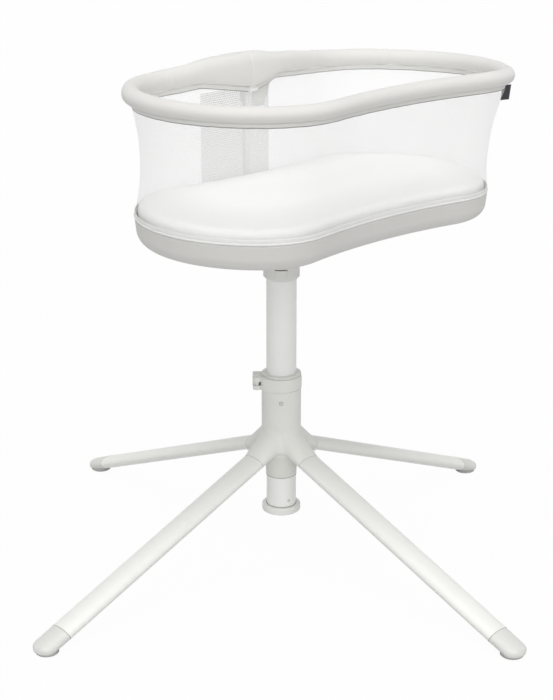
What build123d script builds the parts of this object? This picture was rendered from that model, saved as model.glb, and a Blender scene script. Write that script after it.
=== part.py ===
from build123d import *
import os
from math import atan2, cos, degrees, radians, sin, sqrt, tan

# Pedestal bassinet: a mesh-walled hourglass basket that turns on a height-adjustable post, over a hub
# with four sloping legs. Millimetres, +Z up, origin on the floor under the post. The basket's long side
# lies along X, its open front faces -Y, and the legs point along X and Y.

# Legs and feet
LEG_REACH = 636
LEG_ROOT_Z = 267
LEG_FOOT_Z = 14
LEG_WIDTH = 56
LEG_HEIGHT = 29
LEG_WALL = 2
SOCKET_REACH = 82
SPIGOT_LENGTH = 60
FOOT_CAP_REACH = 36
FOOT_GAP = 4
PAD_RADIUS = 23
PAD_HEIGHT = 9
PLUG_LENGTH = 34

# Hub and its bushes
COLUMN_RADIUS = 42
HUB_DROP = 31
HUB_HEIGHT = 148
ARM_FLARE = 18
ARM_WIDEN = 6
ARM_FILLET = 20
SKIRT_LENGTH = 50
SKIRT_TAPER = 1.8
BUSH_WALL = 2.7
BUSH_LENGTH = 76
BUSH_SCREW_DROP = 24

# Clamp on top of the hub
CLAMP_HEIGHT = 34
CLAMP_NEST = 6
CLAMP_SLIT = 3
EAR_REACH = 61
EAR_THICK = 12
LEVER_HEIGHT = 27
LEVER_LIFT = 2.5
PIVOT_REACH = 51
CAM_RADIUS = 8.7
LEVER_PIN_RADIUS = 2.5

# Post that slides in the hub
POST_RADIUS = 31.75
POST_WALL = 2
POST_LENGTH = 516
POST_STICKOUT = 70
END_CAP_RADIUS = 41.5
END_CAP_HEIGHT = 15

# Swivel head at the top of the post
HEAD_RADIUS = 38
HEAD_HEIGHT = 68
HEAD_SKIRT = 8
HEAD_PLUG = 62
SPINDLE_RADIUS = 24
WASHER_THICK = 2
NECK_HEIGHT = 42
FLANGE_RADIUS = 66
FLANGE_THICK = 5
BUTTON_WIDTH = 24.4
BUTTON_HEIGHT = 13.2
BUTTON_LIFT = 4.4
BUTTON_TRAVEL = 3.5

# Basket plan: tangent arcs, the same in all four quarters
BASKET_LENGTH = 794
BASKET_WIDTH = 430
WAIST_WIDTH = 388
END_RADIUS = 245
LOBE_RADIUS = 140
BASKET_FORWARD = 99
RIM_FORWARD = 118
RIM_GROW = 9.5

# Basket base
PLATE_THICK = 6
PLATE_RADIUS = 78
TONGUE_WIDTH = 44
PAN_DEPTH = 51
PAN_WALL = 3
PAN_DRAFT = 6
PAN_CORNER = 28
COVER_THICK = 1.2
COVER_TURN = 75
PIPING_RADIUS = 2.6
RIB_HEIGHT = 34
BOARD_THICK = 4
MATTRESS_THICK = 44

# Walls and rim
RIM_HEIGHT = 237
RIM_TUBE_RADIUS = 8
RIM_TUBE_WALL = 1.2
RIM_PAD_RADIUS = 20
HEM_HEIGHT = 9.4
HEM_THICK = 3
HEM_OFFSET = 0
WALL_THICK = 1.2
WALL_BOW = 12
RIM_POST_WIDTH = 14
RIM_POST_DEPTH = 10
RIM_POST_GAP = 3.5
PANEL_LEFT = 125
PANEL_RIGHT = 70
PANEL_SAG = 9
WALL_OPENING = 112
BOLSTER_HALF = 190
BOLSTER_HEIGHT = 72
BOLSTER_RISE = 41
BOLSTER_ARCH = 11
BOLSTER_THICK = 54
HINGE_DROP = 24
HINGE_PIN_RADIUS = 4
EAR_SPAN = 26
TAB_WIDTH = 21
TAB_HEIGHT = 30
TAB_PLACE = -38
TAB_TURN = -6

# Clearances
RUN = 0.1
FIT = 0.05
GAP = 0.3

# Heights that follow from the sizes above
slope = atan2(LEG_ROOT_Z - LEG_FOOT_Z, LEG_REACH)
hub_bottom = LEG_ROOT_Z - HUB_DROP
hub_top = hub_bottom + HUB_HEIGHT
skirt_bottom = hub_bottom - SKIRT_LENGTH
bush_radius = POST_RADIUS + RUN + BUSH_WALL
bush_bore = POST_RADIUS + RUN
clamp_top = hub_top + CLAMP_HEIGHT
post_bottom = skirt_bottom - POST_STICKOUT
post_top = post_bottom + POST_LENGTH
head_bottom = post_top - HEAD_SKIRT
head_top = post_top + HEAD_HEIGHT
neck_bottom = head_top + WASHER_THICK
flange_bottom = neck_bottom + NECK_HEIGHT
plate_bottom = flange_bottom + FLANGE_THICK
pan_bottom = plate_bottom + PLATE_THICK
pan_top = pan_bottom + PAN_DEPTH
board_bottom = pan_bottom + PAN_WALL + RIB_HEIGHT
mattress_bottom = board_bottom + BOARD_THICK
wall_bottom = pan_top + 2 * PIPING_RADIUS + GAP
rim_z = pan_top + RIM_HEIGHT
hem_top = rim_z - RIM_PAD_RADIUS - GAP
hem_bottom = hem_top - HEM_HEIGHT
wall_top = hem_bottom - GAP

# Plan of the basket
lobe_y = BASKET_WIDTH / 2 - LOBE_RADIUS
end_x = BASKET_LENGTH / 2 - END_RADIUS
lobe_x = end_x + sqrt((END_RADIUS - LOBE_RADIUS) ** 2 - lobe_y ** 2)
half_waist = WAIST_WIDTH / 2
waist_radius = (lobe_x ** 2 + (half_waist - lobe_y) ** 2 - LOBE_RADIUS ** 2) / (BASKET_WIDTH - WAIST_WIDTH)
waist_y = half_waist + waist_radius
end_angle = degrees(atan2(lobe_y, lobe_x - end_x))
waist_angle = degrees(atan2(waist_y - lobe_y, -lobe_x))
waist_half_angle = degrees(atan2(lobe_x, waist_y - lobe_y))
back_waist = half_waist - BASKET_FORWARD
rim_back = half_waist + RIM_GROW - RIM_FORWARD

# Hinge of the rim at the back of the basket
rim_post_y = back_waist + RIM_POST_GAP + RIM_POST_DEPTH / 2
hinge_z = rim_z - HINGE_DROP
bracket_base = hinge_z - 16
bracket_seat = hinge_z - 10
rim_post_top = bracket_base
sleeve_bottom = bracket_base - 22
bolster_top = rim_z + BOLSTER_RISE
bolster_bottom = bolster_top - BOLSTER_HEIGHT
bolster_y = rim_back + 6

LEG_ANGLES = {"right": 0, "rear": 90, "left": 180, "front": 270}
CLAMP_ANGLE = 135
FACE_ANGLE = 225
RIVET_ANGLE = 256

rim_plane = Plane((0, -RIM_FORWARD, rim_z))

os.makedirs("parts", exist_ok=True)


def save(builder, name):
    """Labels a finished piece and writes its file."""
    builder.part.label = name
    export_step(builder.part, f"parts/{name}.step")


def ray(angle):
    """Unit vector in the floor plane."""
    return (cos(radians(angle)), sin(radians(angle)), 0)


def radial_plane(angle, reach, z):
    """Plane that faces away from the post axis, its Y axis up."""
    way = ray(angle)
    return Plane((reach * way[0], reach * way[1], z), x_dir=ray(angle + 90), z_dir=way)


def clamp_plane(z):
    """Level plane with X toward the clamp's ears and Y toward the lever's closed side."""
    return Plane((0, 0, z), x_dir=ray(CLAMP_ANGLE), z_dir=(0, 0, 1))


def leg_plane(angle, reach, lift=0):
    """Plane square to a leg at that distance from the post axis, its Y axis up."""
    way = ray(angle)
    along = (way[0] * cos(slope), way[1] * cos(slope), -sin(slope))
    up = (way[0] * sin(slope), way[1] * sin(slope), cos(slope))
    z = LEG_ROOT_Z - reach * tan(slope)
    origin = (reach * way[0] + lift * up[0], reach * way[1] + lift * up[1], z + lift * up[2])
    return Plane(origin, x_dir=ray(angle + 90), z_dir=along)


def under_plane(angle, reach, drop):
    """Plane under a leg's axis that faces out of its lower side."""
    way = ray(angle)
    down = (-way[0] * sin(slope), -way[1] * sin(slope), -cos(slope))
    z = LEG_ROOT_Z - reach * tan(slope)
    origin = (reach * way[0] + drop * down[0], reach * way[1] + drop * down[1], z + drop * down[2])
    return Plane(origin, x_dir=ray(angle + 90), z_dir=down)


def leg_oval(angle, reach, half_width, half_height, lift=0):
    """Oval section of a leg or hub arm."""
    with BuildSketch(leg_plane(angle, reach, lift)) as section:
        Ellipse(half_width, half_height)
    return section.sketch


def outline(grow):
    """Draws the hourglass outline of the basket, grown by that much, in the open line."""
    for turn, side in ((0, 1), (180, -1)):
        CenterArc((side * end_x, 0), END_RADIUS + grow, turn - end_angle, 2 * end_angle)
    starts = ((1, 1, end_angle), (-1, 1, 180 - waist_angle), (-1, -1, 180 + end_angle), (1, -1, -waist_angle))
    for side_x, side_y, start in starts:
        CenterArc((side_x * lobe_x, side_y * lobe_y), LOBE_RADIUS + grow, start, waist_angle - end_angle)
    for side_y, middle in ((1, 270), (-1, 90)):
        CenterArc((0, side_y * waist_y), waist_radius - grow, middle - waist_half_angle, 2 * waist_half_angle)


def outline_face(z, grow, forward=BASKET_FORWARD):
    """Face of the basket's outline at that height."""
    with BuildSketch(Plane((0, -forward, z))) as face:
        with BuildLine():
            outline(grow)
        make_face()
    return face.sketch


def pan_body(grow, bottom, corner):
    """Solid tub that tapers to a rounded lower edge."""
    with BuildPart() as body:
        extrude(outline_face(pan_top, grow), amount=bottom - pan_top, taper=PAN_DRAFT)
        fillet(body.edges().group_by(Axis.Z)[0], corner)
    return body.part


def ring_along(plane, grow, outer, inner=0):
    """Round bar or sleeve bent along the outline."""
    with BuildPart() as ring:
        with BuildLine(plane) as path:
            outline(grow)
        loop = path.wire()
        with BuildSketch(Plane(origin=loop @ 0, z_dir=loop % 0)):
            Circle(outer)
            if inner:
                Circle(inner, mode=Mode.SUBTRACT)
        sweep(path=loop)
    return ring.part


def back_bar(radius):
    """Round bar along the back waist of the rim."""
    with BuildPart() as bar:
        with BuildLine(rim_plane) as path:
            CenterArc((0, waist_y), waist_radius - RIM_GROW, 270 - waist_half_angle, 2 * waist_half_angle)
        arc = path.wire()
        with BuildSketch(Plane(origin=arc @ 0, z_dir=arc % 0)):
            Circle(radius)
        sweep(path=arc)
    return bar.part


def rim_line(x):
    """Distance behind the post axis of the rim's centreline at the back waist."""
    radius = waist_radius - RIM_GROW
    return rim_back + radius - sqrt(radius ** 2 - x ** 2)


def mesh_shell(outer, thick):
    """Thin wall from the base to the rim, drawn in between them."""
    middle = (wall_bottom + wall_top) / 2
    forward = (BASKET_FORWARD + RIM_FORWARD) / 2
    levels = (
        (wall_bottom, -1, BASKET_FORWARD),
        (middle, (RIM_GROW + HEM_OFFSET - 1) / 2 - WALL_BOW, forward),
        (wall_top, RIM_GROW + HEM_OFFSET, RIM_FORWARD),
    )
    with BuildPart() as shell:
        loft(sections=[outline_face(z, grow + outer, ahead) for z, grow, ahead in levels])
        inside = [outline_face(z, grow + outer - thick, ahead) for z, grow, ahead in levels]
        loft(sections=inside, mode=Mode.SUBTRACT)
    return shell.part


spigot_width = LEG_WIDTH / 2 - LEG_WALL - 2 * RUN
spigot_height = LEG_HEIGHT / 2 - LEG_WALL - 2 * RUN
cap_seam = LEG_REACH - FOOT_CAP_REACH
screw_reach = SOCKET_REACH + 25

# Hub: a column with four flared arms, each ending in a spigot for a leg
with BuildPart() as hub:
    with BuildSketch(Plane.XY.offset(hub_bottom)):
        Circle(COLUMN_RADIUS)
    extrude(amount=HUB_HEIGHT)
    fillet(hub.edges().sort_by(Axis.Z)[-1], 1.5)
    for angle in LEG_ANGLES.values():
        root_width = LEG_WIDTH / 2 + ARM_WIDEN
        root = leg_oval(angle, 0.2 * SOCKET_REACH, root_width, LEG_HEIGHT / 2 + ARM_FLARE, 0.7 * ARM_FLARE)
        mouth = leg_oval(angle, SOCKET_REACH, LEG_WIDTH / 2, LEG_HEIGHT / 2)
        loft(sections=[root, mouth])
    creases = []
    for edge in hub.edges():
        box = edge.bounding_box()
        spread = max(box.max.X, -box.min.X, box.max.Y, -box.min.Y)
        if box.max.Z < hub_top - 5 and box.min.Z > hub_bottom + 0.5 and spread < 0.87 * SOCKET_REACH:
            creases.append(edge)
    fillet(creases, ARM_FILLET)
    for angle in LEG_ANGLES.values():
        extrude(leg_oval(angle, SOCKET_REACH, spigot_width, spigot_height), amount=SPIGOT_LENGTH)
    with BuildSketch(Plane.XY.offset(skirt_bottom)):
        Circle(bush_radius + FIT)
    extrude(amount=HUB_HEIGHT + SKIRT_LENGTH, mode=Mode.SUBTRACT)
    with BuildSketch(Plane.XY.offset(hub_top)):
        Circle(COLUMN_RADIUS - 4 + FIT)
    extrude(amount=-CLAMP_NEST, mode=Mode.SUBTRACT)
    with BuildSketch(radial_plane(FACE_ANGLE, COLUMN_RADIUS - 1, hub_top - BUSH_SCREW_DROP)):
        Circle(5.2)
    extrude(amount=10, mode=Mode.SUBTRACT)
    with BuildSketch(radial_plane(FACE_ANGLE, bush_radius - 3, hub_top - BUSH_SCREW_DROP)):
        Circle(2.5 + RUN)
    extrude(amount=10, mode=Mode.SUBTRACT)
    for angle in LEG_ANGLES.values():
        with BuildSketch(under_plane(angle, screw_reach, LEG_HEIGHT / 2 - 9)):
            Circle(2.5 + RUN)
        extrude(amount=12, mode=Mode.SUBTRACT)
save(hub, "hub")

# Legs: oval tubes over the hub's spigots
for name, angle in LEG_ANGLES.items():
    with BuildPart() as leg:
        length = (cap_seam - SOCKET_REACH) / cos(slope)
        extrude(leg_oval(angle, SOCKET_REACH, LEG_WIDTH / 2, LEG_HEIGHT / 2), amount=length)
        bore = leg_oval(angle, SOCKET_REACH, LEG_WIDTH / 2 - LEG_WALL, LEG_HEIGHT / 2 - LEG_WALL)
        extrude(bore, amount=length, mode=Mode.SUBTRACT)
        with BuildSketch(under_plane(angle, screw_reach, LEG_HEIGHT / 2 - 6)):
            Circle(2.5 + RUN)
        extrude(amount=12, mode=Mode.SUBTRACT)
    save(leg, f"{name}_leg")

# Screws that hold the legs on the spigots, from below
with BuildPart() as leg_screws:
    for angle in LEG_ANGLES.values():
        with BuildSketch(under_plane(angle, screw_reach, LEG_HEIGHT / 2 - 8)):
            Circle(2.5)
        extrude(amount=8.2)
        with BuildSketch(under_plane(angle, screw_reach, LEG_HEIGHT / 2 + 0.1)):
            Circle(5)
        extrude(amount=2.6, taper=20)
save(leg_screws, "leg_screws")

# Feet: a cap that closes each leg and rounds down to the floor, and a rubber pad in its underside
for name, angle in LEG_ANGLES.items():
    floor_plane = Plane((0, 0, FOOT_GAP), x_dir=ray(angle), z_dir=(0, 0, 1))
    with BuildPart() as cap:
        overrun = (FOOT_CAP_REACH + LEG_WIDTH) / cos(slope)
        extrude(leg_oval(angle, cap_seam, LEG_WIDTH / 2, LEG_HEIGHT / 2), amount=overrun)
        with BuildSketch(floor_plane):
            with Locations((LEG_REACH, 0)):
                Circle(LEG_WIDTH / 2)
            with Locations((LEG_REACH - FOOT_CAP_REACH, 0)):
                Rectangle(2 * FOOT_CAP_REACH, LEG_WIDTH)
        extrude(amount=4 * LEG_HEIGHT, mode=Mode.INTERSECT)
        side_plane = Plane((0, 0, 0), x_dir=ray(angle), z_dir=ray(angle - 90))
        with BuildSketch(side_plane):
            with Locations((LEG_REACH - FOOT_CAP_REACH, LEG_HEIGHT)):
                Rectangle(2 * FOOT_CAP_REACH, 2 * LEG_HEIGHT)
            with Locations((LEG_REACH, FOOT_GAP)):
                Ellipse(LEG_WIDTH / 2, LEG_HEIGHT - FOOT_GAP)
        extrude(amount=LEG_WIDTH, both=True, mode=Mode.INTERSECT)
        extrude(leg_oval(angle, cap_seam, spigot_width, spigot_height), amount=-PLUG_LENGTH)
        with BuildSketch(floor_plane):
            with Locations((LEG_REACH, 0)):
                Circle(PAD_RADIUS + FIT)
        extrude(amount=PAD_HEIGHT - FOOT_GAP, mode=Mode.SUBTRACT)
    save(cap, f"{name}_foot_cap")
    with BuildPart() as pad:
        with BuildSketch(Plane((0, 0, 0), x_dir=ray(angle), z_dir=(0, 0, 1))):
            with Locations((LEG_REACH, 0)):
                Circle(PAD_RADIUS)
        extrude(amount=PAD_HEIGHT)
        chamfer(pad.edges().group_by(Axis.Z)[0], 1)
    save(pad, f"{name}_foot_pad")

# Bushes that guide the post in the hub; the lower one shows as a skirt under the hub
for name, bottom, length in (
    ("lower_bush", skirt_bottom, BUSH_LENGTH),
    ("upper_bush", hub_top - CLAMP_NEST - BUSH_LENGTH, BUSH_LENGTH),
):
    with BuildPart() as bush:
        with BuildSketch(Plane.XY.offset(bottom)):
            Circle(bush_radius)
            Circle(bush_bore, mode=Mode.SUBTRACT)
        extrude(amount=length)
        if name == "lower_bush":
            skirt_edge = bush.edges().group_by(Axis.Z)[0].sort_by(SortBy.RADIUS)[-1]
            skirt_side = bush.faces().sort_by(SortBy.AREA)[-1]
            chamfer(skirt_edge, SKIRT_LENGTH * 0.8, SKIRT_TAPER, reference=skirt_side)
        with BuildSketch(radial_plane(FACE_ANGLE, bush_bore - 1, hub_top - BUSH_SCREW_DROP)):
            Circle(2.5 + RUN)
        extrude(amount=10, mode=Mode.SUBTRACT)
    save(bush, name)

with BuildPart() as bush_screw:
    with BuildSketch(radial_plane(FACE_ANGLE, bush_bore + 0.7, hub_top - BUSH_SCREW_DROP)):
        Circle(2.5)
    extrude(amount=COLUMN_RADIUS - 1 - bush_bore - 0.7)
    with BuildSketch(radial_plane(FACE_ANGLE, COLUMN_RADIUS - 1, hub_top - BUSH_SCREW_DROP)):
        Circle(5)
    extrude(amount=2.8)
    fillet(bush_screw.edges().sort_by_distance((0, 0, hub_top - BUSH_SCREW_DROP))[-1], 1.6)
save(bush_screw, "bush_screw")

# Split collar that grips the post, drawn shut by a bolt and a cam lever
slit_half = CLAMP_SLIT / 2
cam_y = slit_half + EAR_THICK + GAP + CAM_RADIUS
lever_bottom = hub_top + LEVER_LIFT
lever_middle = lever_bottom + LEVER_HEIGHT / 2
bolt_plane = Plane((0, 0, lever_middle), x_dir=ray(CLAMP_ANGLE), z_dir=ray(CLAMP_ANGLE + 90))
with BuildPart() as clamp_collar:
    with BuildSketch(clamp_plane(hub_top)):
        Circle(COLUMN_RADIUS)
    extrude(amount=CLAMP_HEIGHT)
    fillet(clamp_collar.edges().sort_by(Axis.Z)[-1], 3)
    with BuildSketch(clamp_plane(hub_top)):
        Circle(COLUMN_RADIUS - 4)
    extrude(amount=-CLAMP_NEST)
    with BuildSketch(clamp_plane(lever_bottom)):
        with Locations(((EAR_REACH + POST_RADIUS) / 2, 0)):
            RectangleRounded(EAR_REACH - POST_RADIUS, CLAMP_SLIT + 2 * EAR_THICK, 5)
    extrude(amount=LEVER_HEIGHT)
    with BuildSketch(clamp_plane(hub_top - CLAMP_NEST)):
        Circle(POST_RADIUS + GAP)
        with Locations((POST_RADIUS + EAR_REACH / 2, 0)):
            Rectangle(EAR_REACH, CLAMP_SLIT)
    extrude(amount=CLAMP_HEIGHT + CLAMP_NEST, mode=Mode.SUBTRACT)
    with BuildSketch(bolt_plane):
        with Locations((PIVOT_REACH, 0)):
            Circle(3 + GAP)
    extrude(amount=EAR_THICK + 5, both=True, mode=Mode.SUBTRACT)
save(clamp_collar, "clamp_collar")

with BuildPart() as clamp_bolt:
    with BuildSketch(bolt_plane.offset(-slit_half - EAR_THICK - 4.5)):
        with Locations((PIVOT_REACH, 0)):
            Circle(3)
    extrude(amount=slit_half + EAR_THICK + 4.5 + cam_y)
    with BuildSketch(clamp_plane(lever_middle)):
        with Locations((PIVOT_REACH, cam_y)):
            Circle(6)
    extrude(amount=4, both=True)
    with BuildSketch(clamp_plane(lever_middle)):
        with Locations((PIVOT_REACH, cam_y)):
            Circle(LEVER_PIN_RADIUS + FIT)
    extrude(amount=6, both=True, mode=Mode.SUBTRACT)
save(clamp_bolt, "clamp_bolt")

with BuildPart() as clamp_nut:
    with BuildSketch(bolt_plane.offset(-slit_half - EAR_THICK - 0.1)):
        with Locations((PIVOT_REACH, 0)):
            RegularPolygon(6, 6)
    extrude(amount=-6)
    with BuildSketch(bolt_plane.offset(-slit_half - EAR_THICK - 0.1)):
        with Locations((PIVOT_REACH, 0)):
            Circle(3 + FIT)
    extrude(amount=-4.6, mode=Mode.SUBTRACT)
save(clamp_nut, "clamp_nut")

# Cam lever: a fork on the pivot pin and a band that thins out around the collar
with BuildPart() as clamp_lever:
    with BuildSketch(clamp_plane(lever_bottom)):
        with Locations((3.6, 1.5)):
            Circle(COLUMN_RADIUS + 5.2)
        Circle(COLUMN_RADIUS + 0.5, mode=Mode.SUBTRACT)
        with BuildLine():
            ear_corner = (EAR_REACH, cam_y - CAM_RADIUS)
            Polyline((-COLUMN_RADIUS, 8), (0, 30), ear_corner, (EAR_REACH, 80), (-80, 80), (-80, 8), close=True)
        make_face(mode=Mode.INTERSECT)
        with Locations((PIVOT_REACH, cam_y)):
            Circle(CAM_RADIUS)
    extrude(amount=LEVER_HEIGHT)
    with BuildSketch(clamp_plane(lever_middle)):
        with Locations((PIVOT_REACH, cam_y)):
            Circle(11)
    extrude(amount=4 + GAP, both=True, mode=Mode.SUBTRACT)
    with BuildSketch(clamp_plane(lever_bottom)):
        with Locations((PIVOT_REACH, cam_y)):
            Circle(LEVER_PIN_RADIUS + FIT)
    extrude(amount=LEVER_HEIGHT, mode=Mode.SUBTRACT)
save(clamp_lever, "clamp_lever")

with BuildPart() as lever_pin:
    with BuildSketch(clamp_plane(lever_bottom + 0.5)):
        with Locations((PIVOT_REACH, cam_y)):
            Circle(LEVER_PIN_RADIUS)
    extrude(amount=LEVER_HEIGHT - 1)
save(lever_pin, "lever_pin")

# Post, its end cap and the rivets through it
with BuildPart() as post_tube:
    with BuildSketch(Plane.XY.offset(post_bottom)):
        Circle(POST_RADIUS)
        Circle(POST_RADIUS - POST_WALL, mode=Mode.SUBTRACT)
    extrude(amount=POST_LENGTH)
    for angle in (RIVET_ANGLE, RIVET_ANGLE + 180):
        with BuildSketch(radial_plane(angle, POST_RADIUS - 6, post_bottom + 15)):
            Circle(2 + FIT)
        extrude(amount=12, mode=Mode.SUBTRACT)
save(post_tube, "post_tube")

with BuildPart() as end_cap:
    with BuildSketch(Plane.XY.offset(post_bottom - END_CAP_HEIGHT)):
        Circle(END_CAP_RADIUS)
    extrude(amount=END_CAP_HEIGHT)
    fillet(end_cap.edges(), 3)
    with BuildSketch(Plane.XY.offset(post_bottom)):
        Circle(POST_RADIUS - POST_WALL - RUN)
        Circle(POST_RADIUS - POST_WALL - 4, mode=Mode.SUBTRACT)
    extrude(amount=PLUG_LENGTH)
    for angle in (RIVET_ANGLE, RIVET_ANGLE + 180):
        with BuildSketch(radial_plane(angle, POST_RADIUS - 8, post_bottom + 15)):
            Circle(2 + FIT)
        extrude(amount=12, mode=Mode.SUBTRACT)
save(end_cap, "end_cap")

with BuildPart() as end_cap_rivets:
    for angle in (RIVET_ANGLE, RIVET_ANGLE + 180):
        with BuildSketch(radial_plane(angle, POST_RADIUS - 5, post_bottom + 15)):
            Circle(2)
        extrude(amount=5.1)
        with BuildSketch(radial_plane(angle, POST_RADIUS + 0.1, post_bottom + 15)):
            Circle(3.5)
        extrude(amount=1.3, taper=30)
save(end_cap_rivets, "end_cap_rivets")

# Head on top of the post: socket for the spindle, with a window and a chamber for the release latch
latch_z = post_top + BUTTON_LIFT + 2.6
latch_thick = 5
ring_shift = 4
ring_bore = SPINDLE_RADIUS + 2
ring_outer = ring_bore + 4
chamber = ring_outer + ring_shift + GAP
with BuildPart() as post_head:
    with BuildSketch(Plane.XZ):
        with BuildLine():
            Polyline(
                (SPINDLE_RADIUS + RUN, post_top - HEAD_PLUG),
                (POST_RADIUS - POST_WALL - RUN, post_top - HEAD_PLUG),
                (POST_RADIUS - POST_WALL - RUN, post_top + FIT),
                (POST_RADIUS + RUN, post_top + FIT),
                (POST_RADIUS + RUN, head_bottom),
                (POST_RADIUS + 0.6, head_bottom),
                (HEAD_RADIUS, head_bottom + HEAD_SKIRT * 0.75),
                (HEAD_RADIUS, head_top - 1.5),
                (HEAD_RADIUS - 1.5, head_top),
                (SPINDLE_RADIUS + RUN, head_top),
                close=True,
            )
        make_face()
    revolve(axis=Axis.Z)
    with BuildSketch(Plane.XY.offset(latch_z - GAP)):
        Circle(chamber)
    extrude(amount=latch_thick + 2 * GAP, mode=Mode.SUBTRACT)
    with BuildSketch(radial_plane(FACE_ANGLE, SPINDLE_RADIUS, post_top + BUTTON_LIFT - GAP)):
        with Locations((0, BUTTON_HEIGHT / 2 + 1.3)):
            Rectangle(BUTTON_WIDTH + 2 * GAP, BUTTON_HEIGHT + 2.6)
    extrude(amount=HEAD_RADIUS, mode=Mode.SUBTRACT)
save(post_head, "post_head")

latch_plane = Plane((0, 0, latch_z), x_dir=ray(FACE_ANGLE), z_dir=(0, 0, 1))
with BuildPart() as release_button:
    with BuildSketch(latch_plane):
        with Locations((ring_shift, 0)):
            Circle(ring_outer)
            Circle(ring_bore, mode=Mode.SUBTRACT)
    extrude(amount=latch_thick)
    with BuildSketch(latch_plane.offset(BUTTON_LIFT + post_top - latch_z)):
        with Locations((ring_shift + ring_outer, 0)):
            Rectangle(2 * (HEAD_RADIUS + 1 - ring_shift - ring_outer), BUTTON_WIDTH)
        Circle(HEAD_RADIUS + 0.6, mode=Mode.INTERSECT)
    extrude(amount=BUTTON_HEIGHT)
    with BuildSketch(latch_plane.offset(BUTTON_LIFT + post_top - latch_z - 1)):
        with Locations((ring_shift, 0)):
            Circle(ring_bore)
    extrude(amount=BUTTON_HEIGHT + 2, mode=Mode.SUBTRACT)
save(release_button, "release_button")

# Leaf that pushes the latch back out
with BuildPart() as button_spring:
    with BuildSketch(latch_plane.offset(0.5)):
        with BuildLine():
            ThreePointArc((-chamber + 5.6, -12), (ring_shift - ring_outer - 0.9, 0), (-chamber + 5.6, 12))
        trace(line_width=0.8)
    extrude(amount=latch_thick - 1)
save(button_spring, "button_spring")

with BuildPart() as thrust_washer:
    with BuildSketch(Plane.XY.offset(head_top)):
        Circle(HEAD_RADIUS - 1.5)
        Circle(SPINDLE_RADIUS + GAP, mode=Mode.SUBTRACT)
    extrude(amount=WASHER_THICK)
save(thrust_washer, "thrust_washer")

# Spindle that turns in the head and carries the basket
screw_ring = FLANGE_RADIUS - 10
with BuildPart() as swivel_spindle:
    with BuildSketch(Plane.XZ):
        with BuildLine():
            Polyline(
                (SPINDLE_RADIUS - 8, post_top - HEAD_PLUG + 4),
                (SPINDLE_RADIUS - 1.5, post_top - HEAD_PLUG + 4),
                (SPINDLE_RADIUS, post_top - HEAD_PLUG + 5.5),
                (SPINDLE_RADIUS, latch_z - 0.6),
                (SPINDLE_RADIUS - 3, latch_z - 0.6),
                (SPINDLE_RADIUS - 3, latch_z + latch_thick + 0.6),
                (SPINDLE_RADIUS, latch_z + latch_thick + 0.6),
                (SPINDLE_RADIUS, neck_bottom),
                (HEAD_RADIUS - 1, neck_bottom),
                (HEAD_RADIUS, neck_bottom + 1),
                (HEAD_RADIUS, flange_bottom - 10),
                (HEAD_RADIUS + 10, flange_bottom),
                (FLANGE_RADIUS, flange_bottom),
                (FLANGE_RADIUS, plate_bottom),
                (SPINDLE_RADIUS - 8, plate_bottom),
                close=True,
            )
        make_face()
    revolve(axis=Axis.Z)
    with BuildSketch(Plane.XY.offset(flange_bottom)):
        with PolarLocations(screw_ring, 4, start_angle=45):
            Circle(3 + RUN)
    extrude(amount=FLANGE_THICK, mode=Mode.SUBTRACT)
save(swivel_spindle, "swivel_spindle")

# Plate under the basket, with a tongue to the back for the post that holds the rim
with BuildPart() as mount_plate:
    with BuildSketch(Plane.XY.offset(plate_bottom)):
        Circle(PLATE_RADIUS)
        tongue_end = rim_post_y + RIM_POST_DEPTH / 2 + 4
        with Locations((0, tongue_end / 2)):
            Rectangle(TONGUE_WIDTH, tongue_end)
        Circle(SPINDLE_RADIUS - 8, mode=Mode.SUBTRACT)
        with PolarLocations(screw_ring, 4, start_angle=45):
            Circle(3 + RUN, mode=Mode.SUBTRACT)
    extrude(amount=PLATE_THICK)
save(mount_plate, "mount_plate")

with BuildPart() as mount_screws:
    with BuildSketch(Plane.XY.offset(flange_bottom)):
        with PolarLocations(screw_ring, 4, start_angle=45):
            Circle(3)
    extrude(amount=FLANGE_THICK + PLATE_THICK + PAN_WALL + 18)
    with BuildSketch(Plane.XY.offset(flange_bottom)):
        with PolarLocations(screw_ring, 4, start_angle=45):
            Circle(5.5)
    extrude(amount=-4)
save(mount_screws, "mount_screws")

# Base pan: a moulded tub with ribs under the board and bosses for the screws
with BuildPart() as pan_ribs:
    with BuildSketch(Plane((0, -BASKET_FORWARD, pan_bottom + PAN_WALL - 1))):
        for rib_x in (-0.34, -0.17, 0.17, 0.34):
            with Locations((rib_x * BASKET_LENGTH, 0)):
                Rectangle(3, BASKET_WIDTH)
        for rib_y in (-0.2, 0.2):
            with Locations((0, rib_y * BASKET_WIDTH)):
                Rectangle(BASKET_LENGTH, 3)
    extrude(amount=RIB_HEIGHT + 1)
    with BuildSketch(Plane.XY.offset(pan_bottom + PAN_WALL - 1)):
        with PolarLocations(screw_ring, 4, start_angle=45):
            Circle(8)
    extrude(amount=RIB_HEIGHT + 1)
    add(pan_body(-COVER_THICK - PAN_WALL + 0.5, pan_bottom + 1, PAN_CORNER - PAN_WALL), mode=Mode.INTERSECT)
with BuildPart() as base_pan:
    add(pan_body(-COVER_THICK, pan_bottom, PAN_CORNER))
    add(pan_body(-COVER_THICK - PAN_WALL, pan_bottom + PAN_WALL, PAN_CORNER - PAN_WALL), mode=Mode.SUBTRACT)
    add(pan_ribs.part)
    with BuildSketch(Plane.XY.offset(pan_bottom)):
        with PolarLocations(screw_ring, 4, start_angle=45):
            Circle(3 + RUN)
    extrude(amount=PAN_WALL + 20, mode=Mode.SUBTRACT)
save(base_pan, "base_pan")

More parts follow.
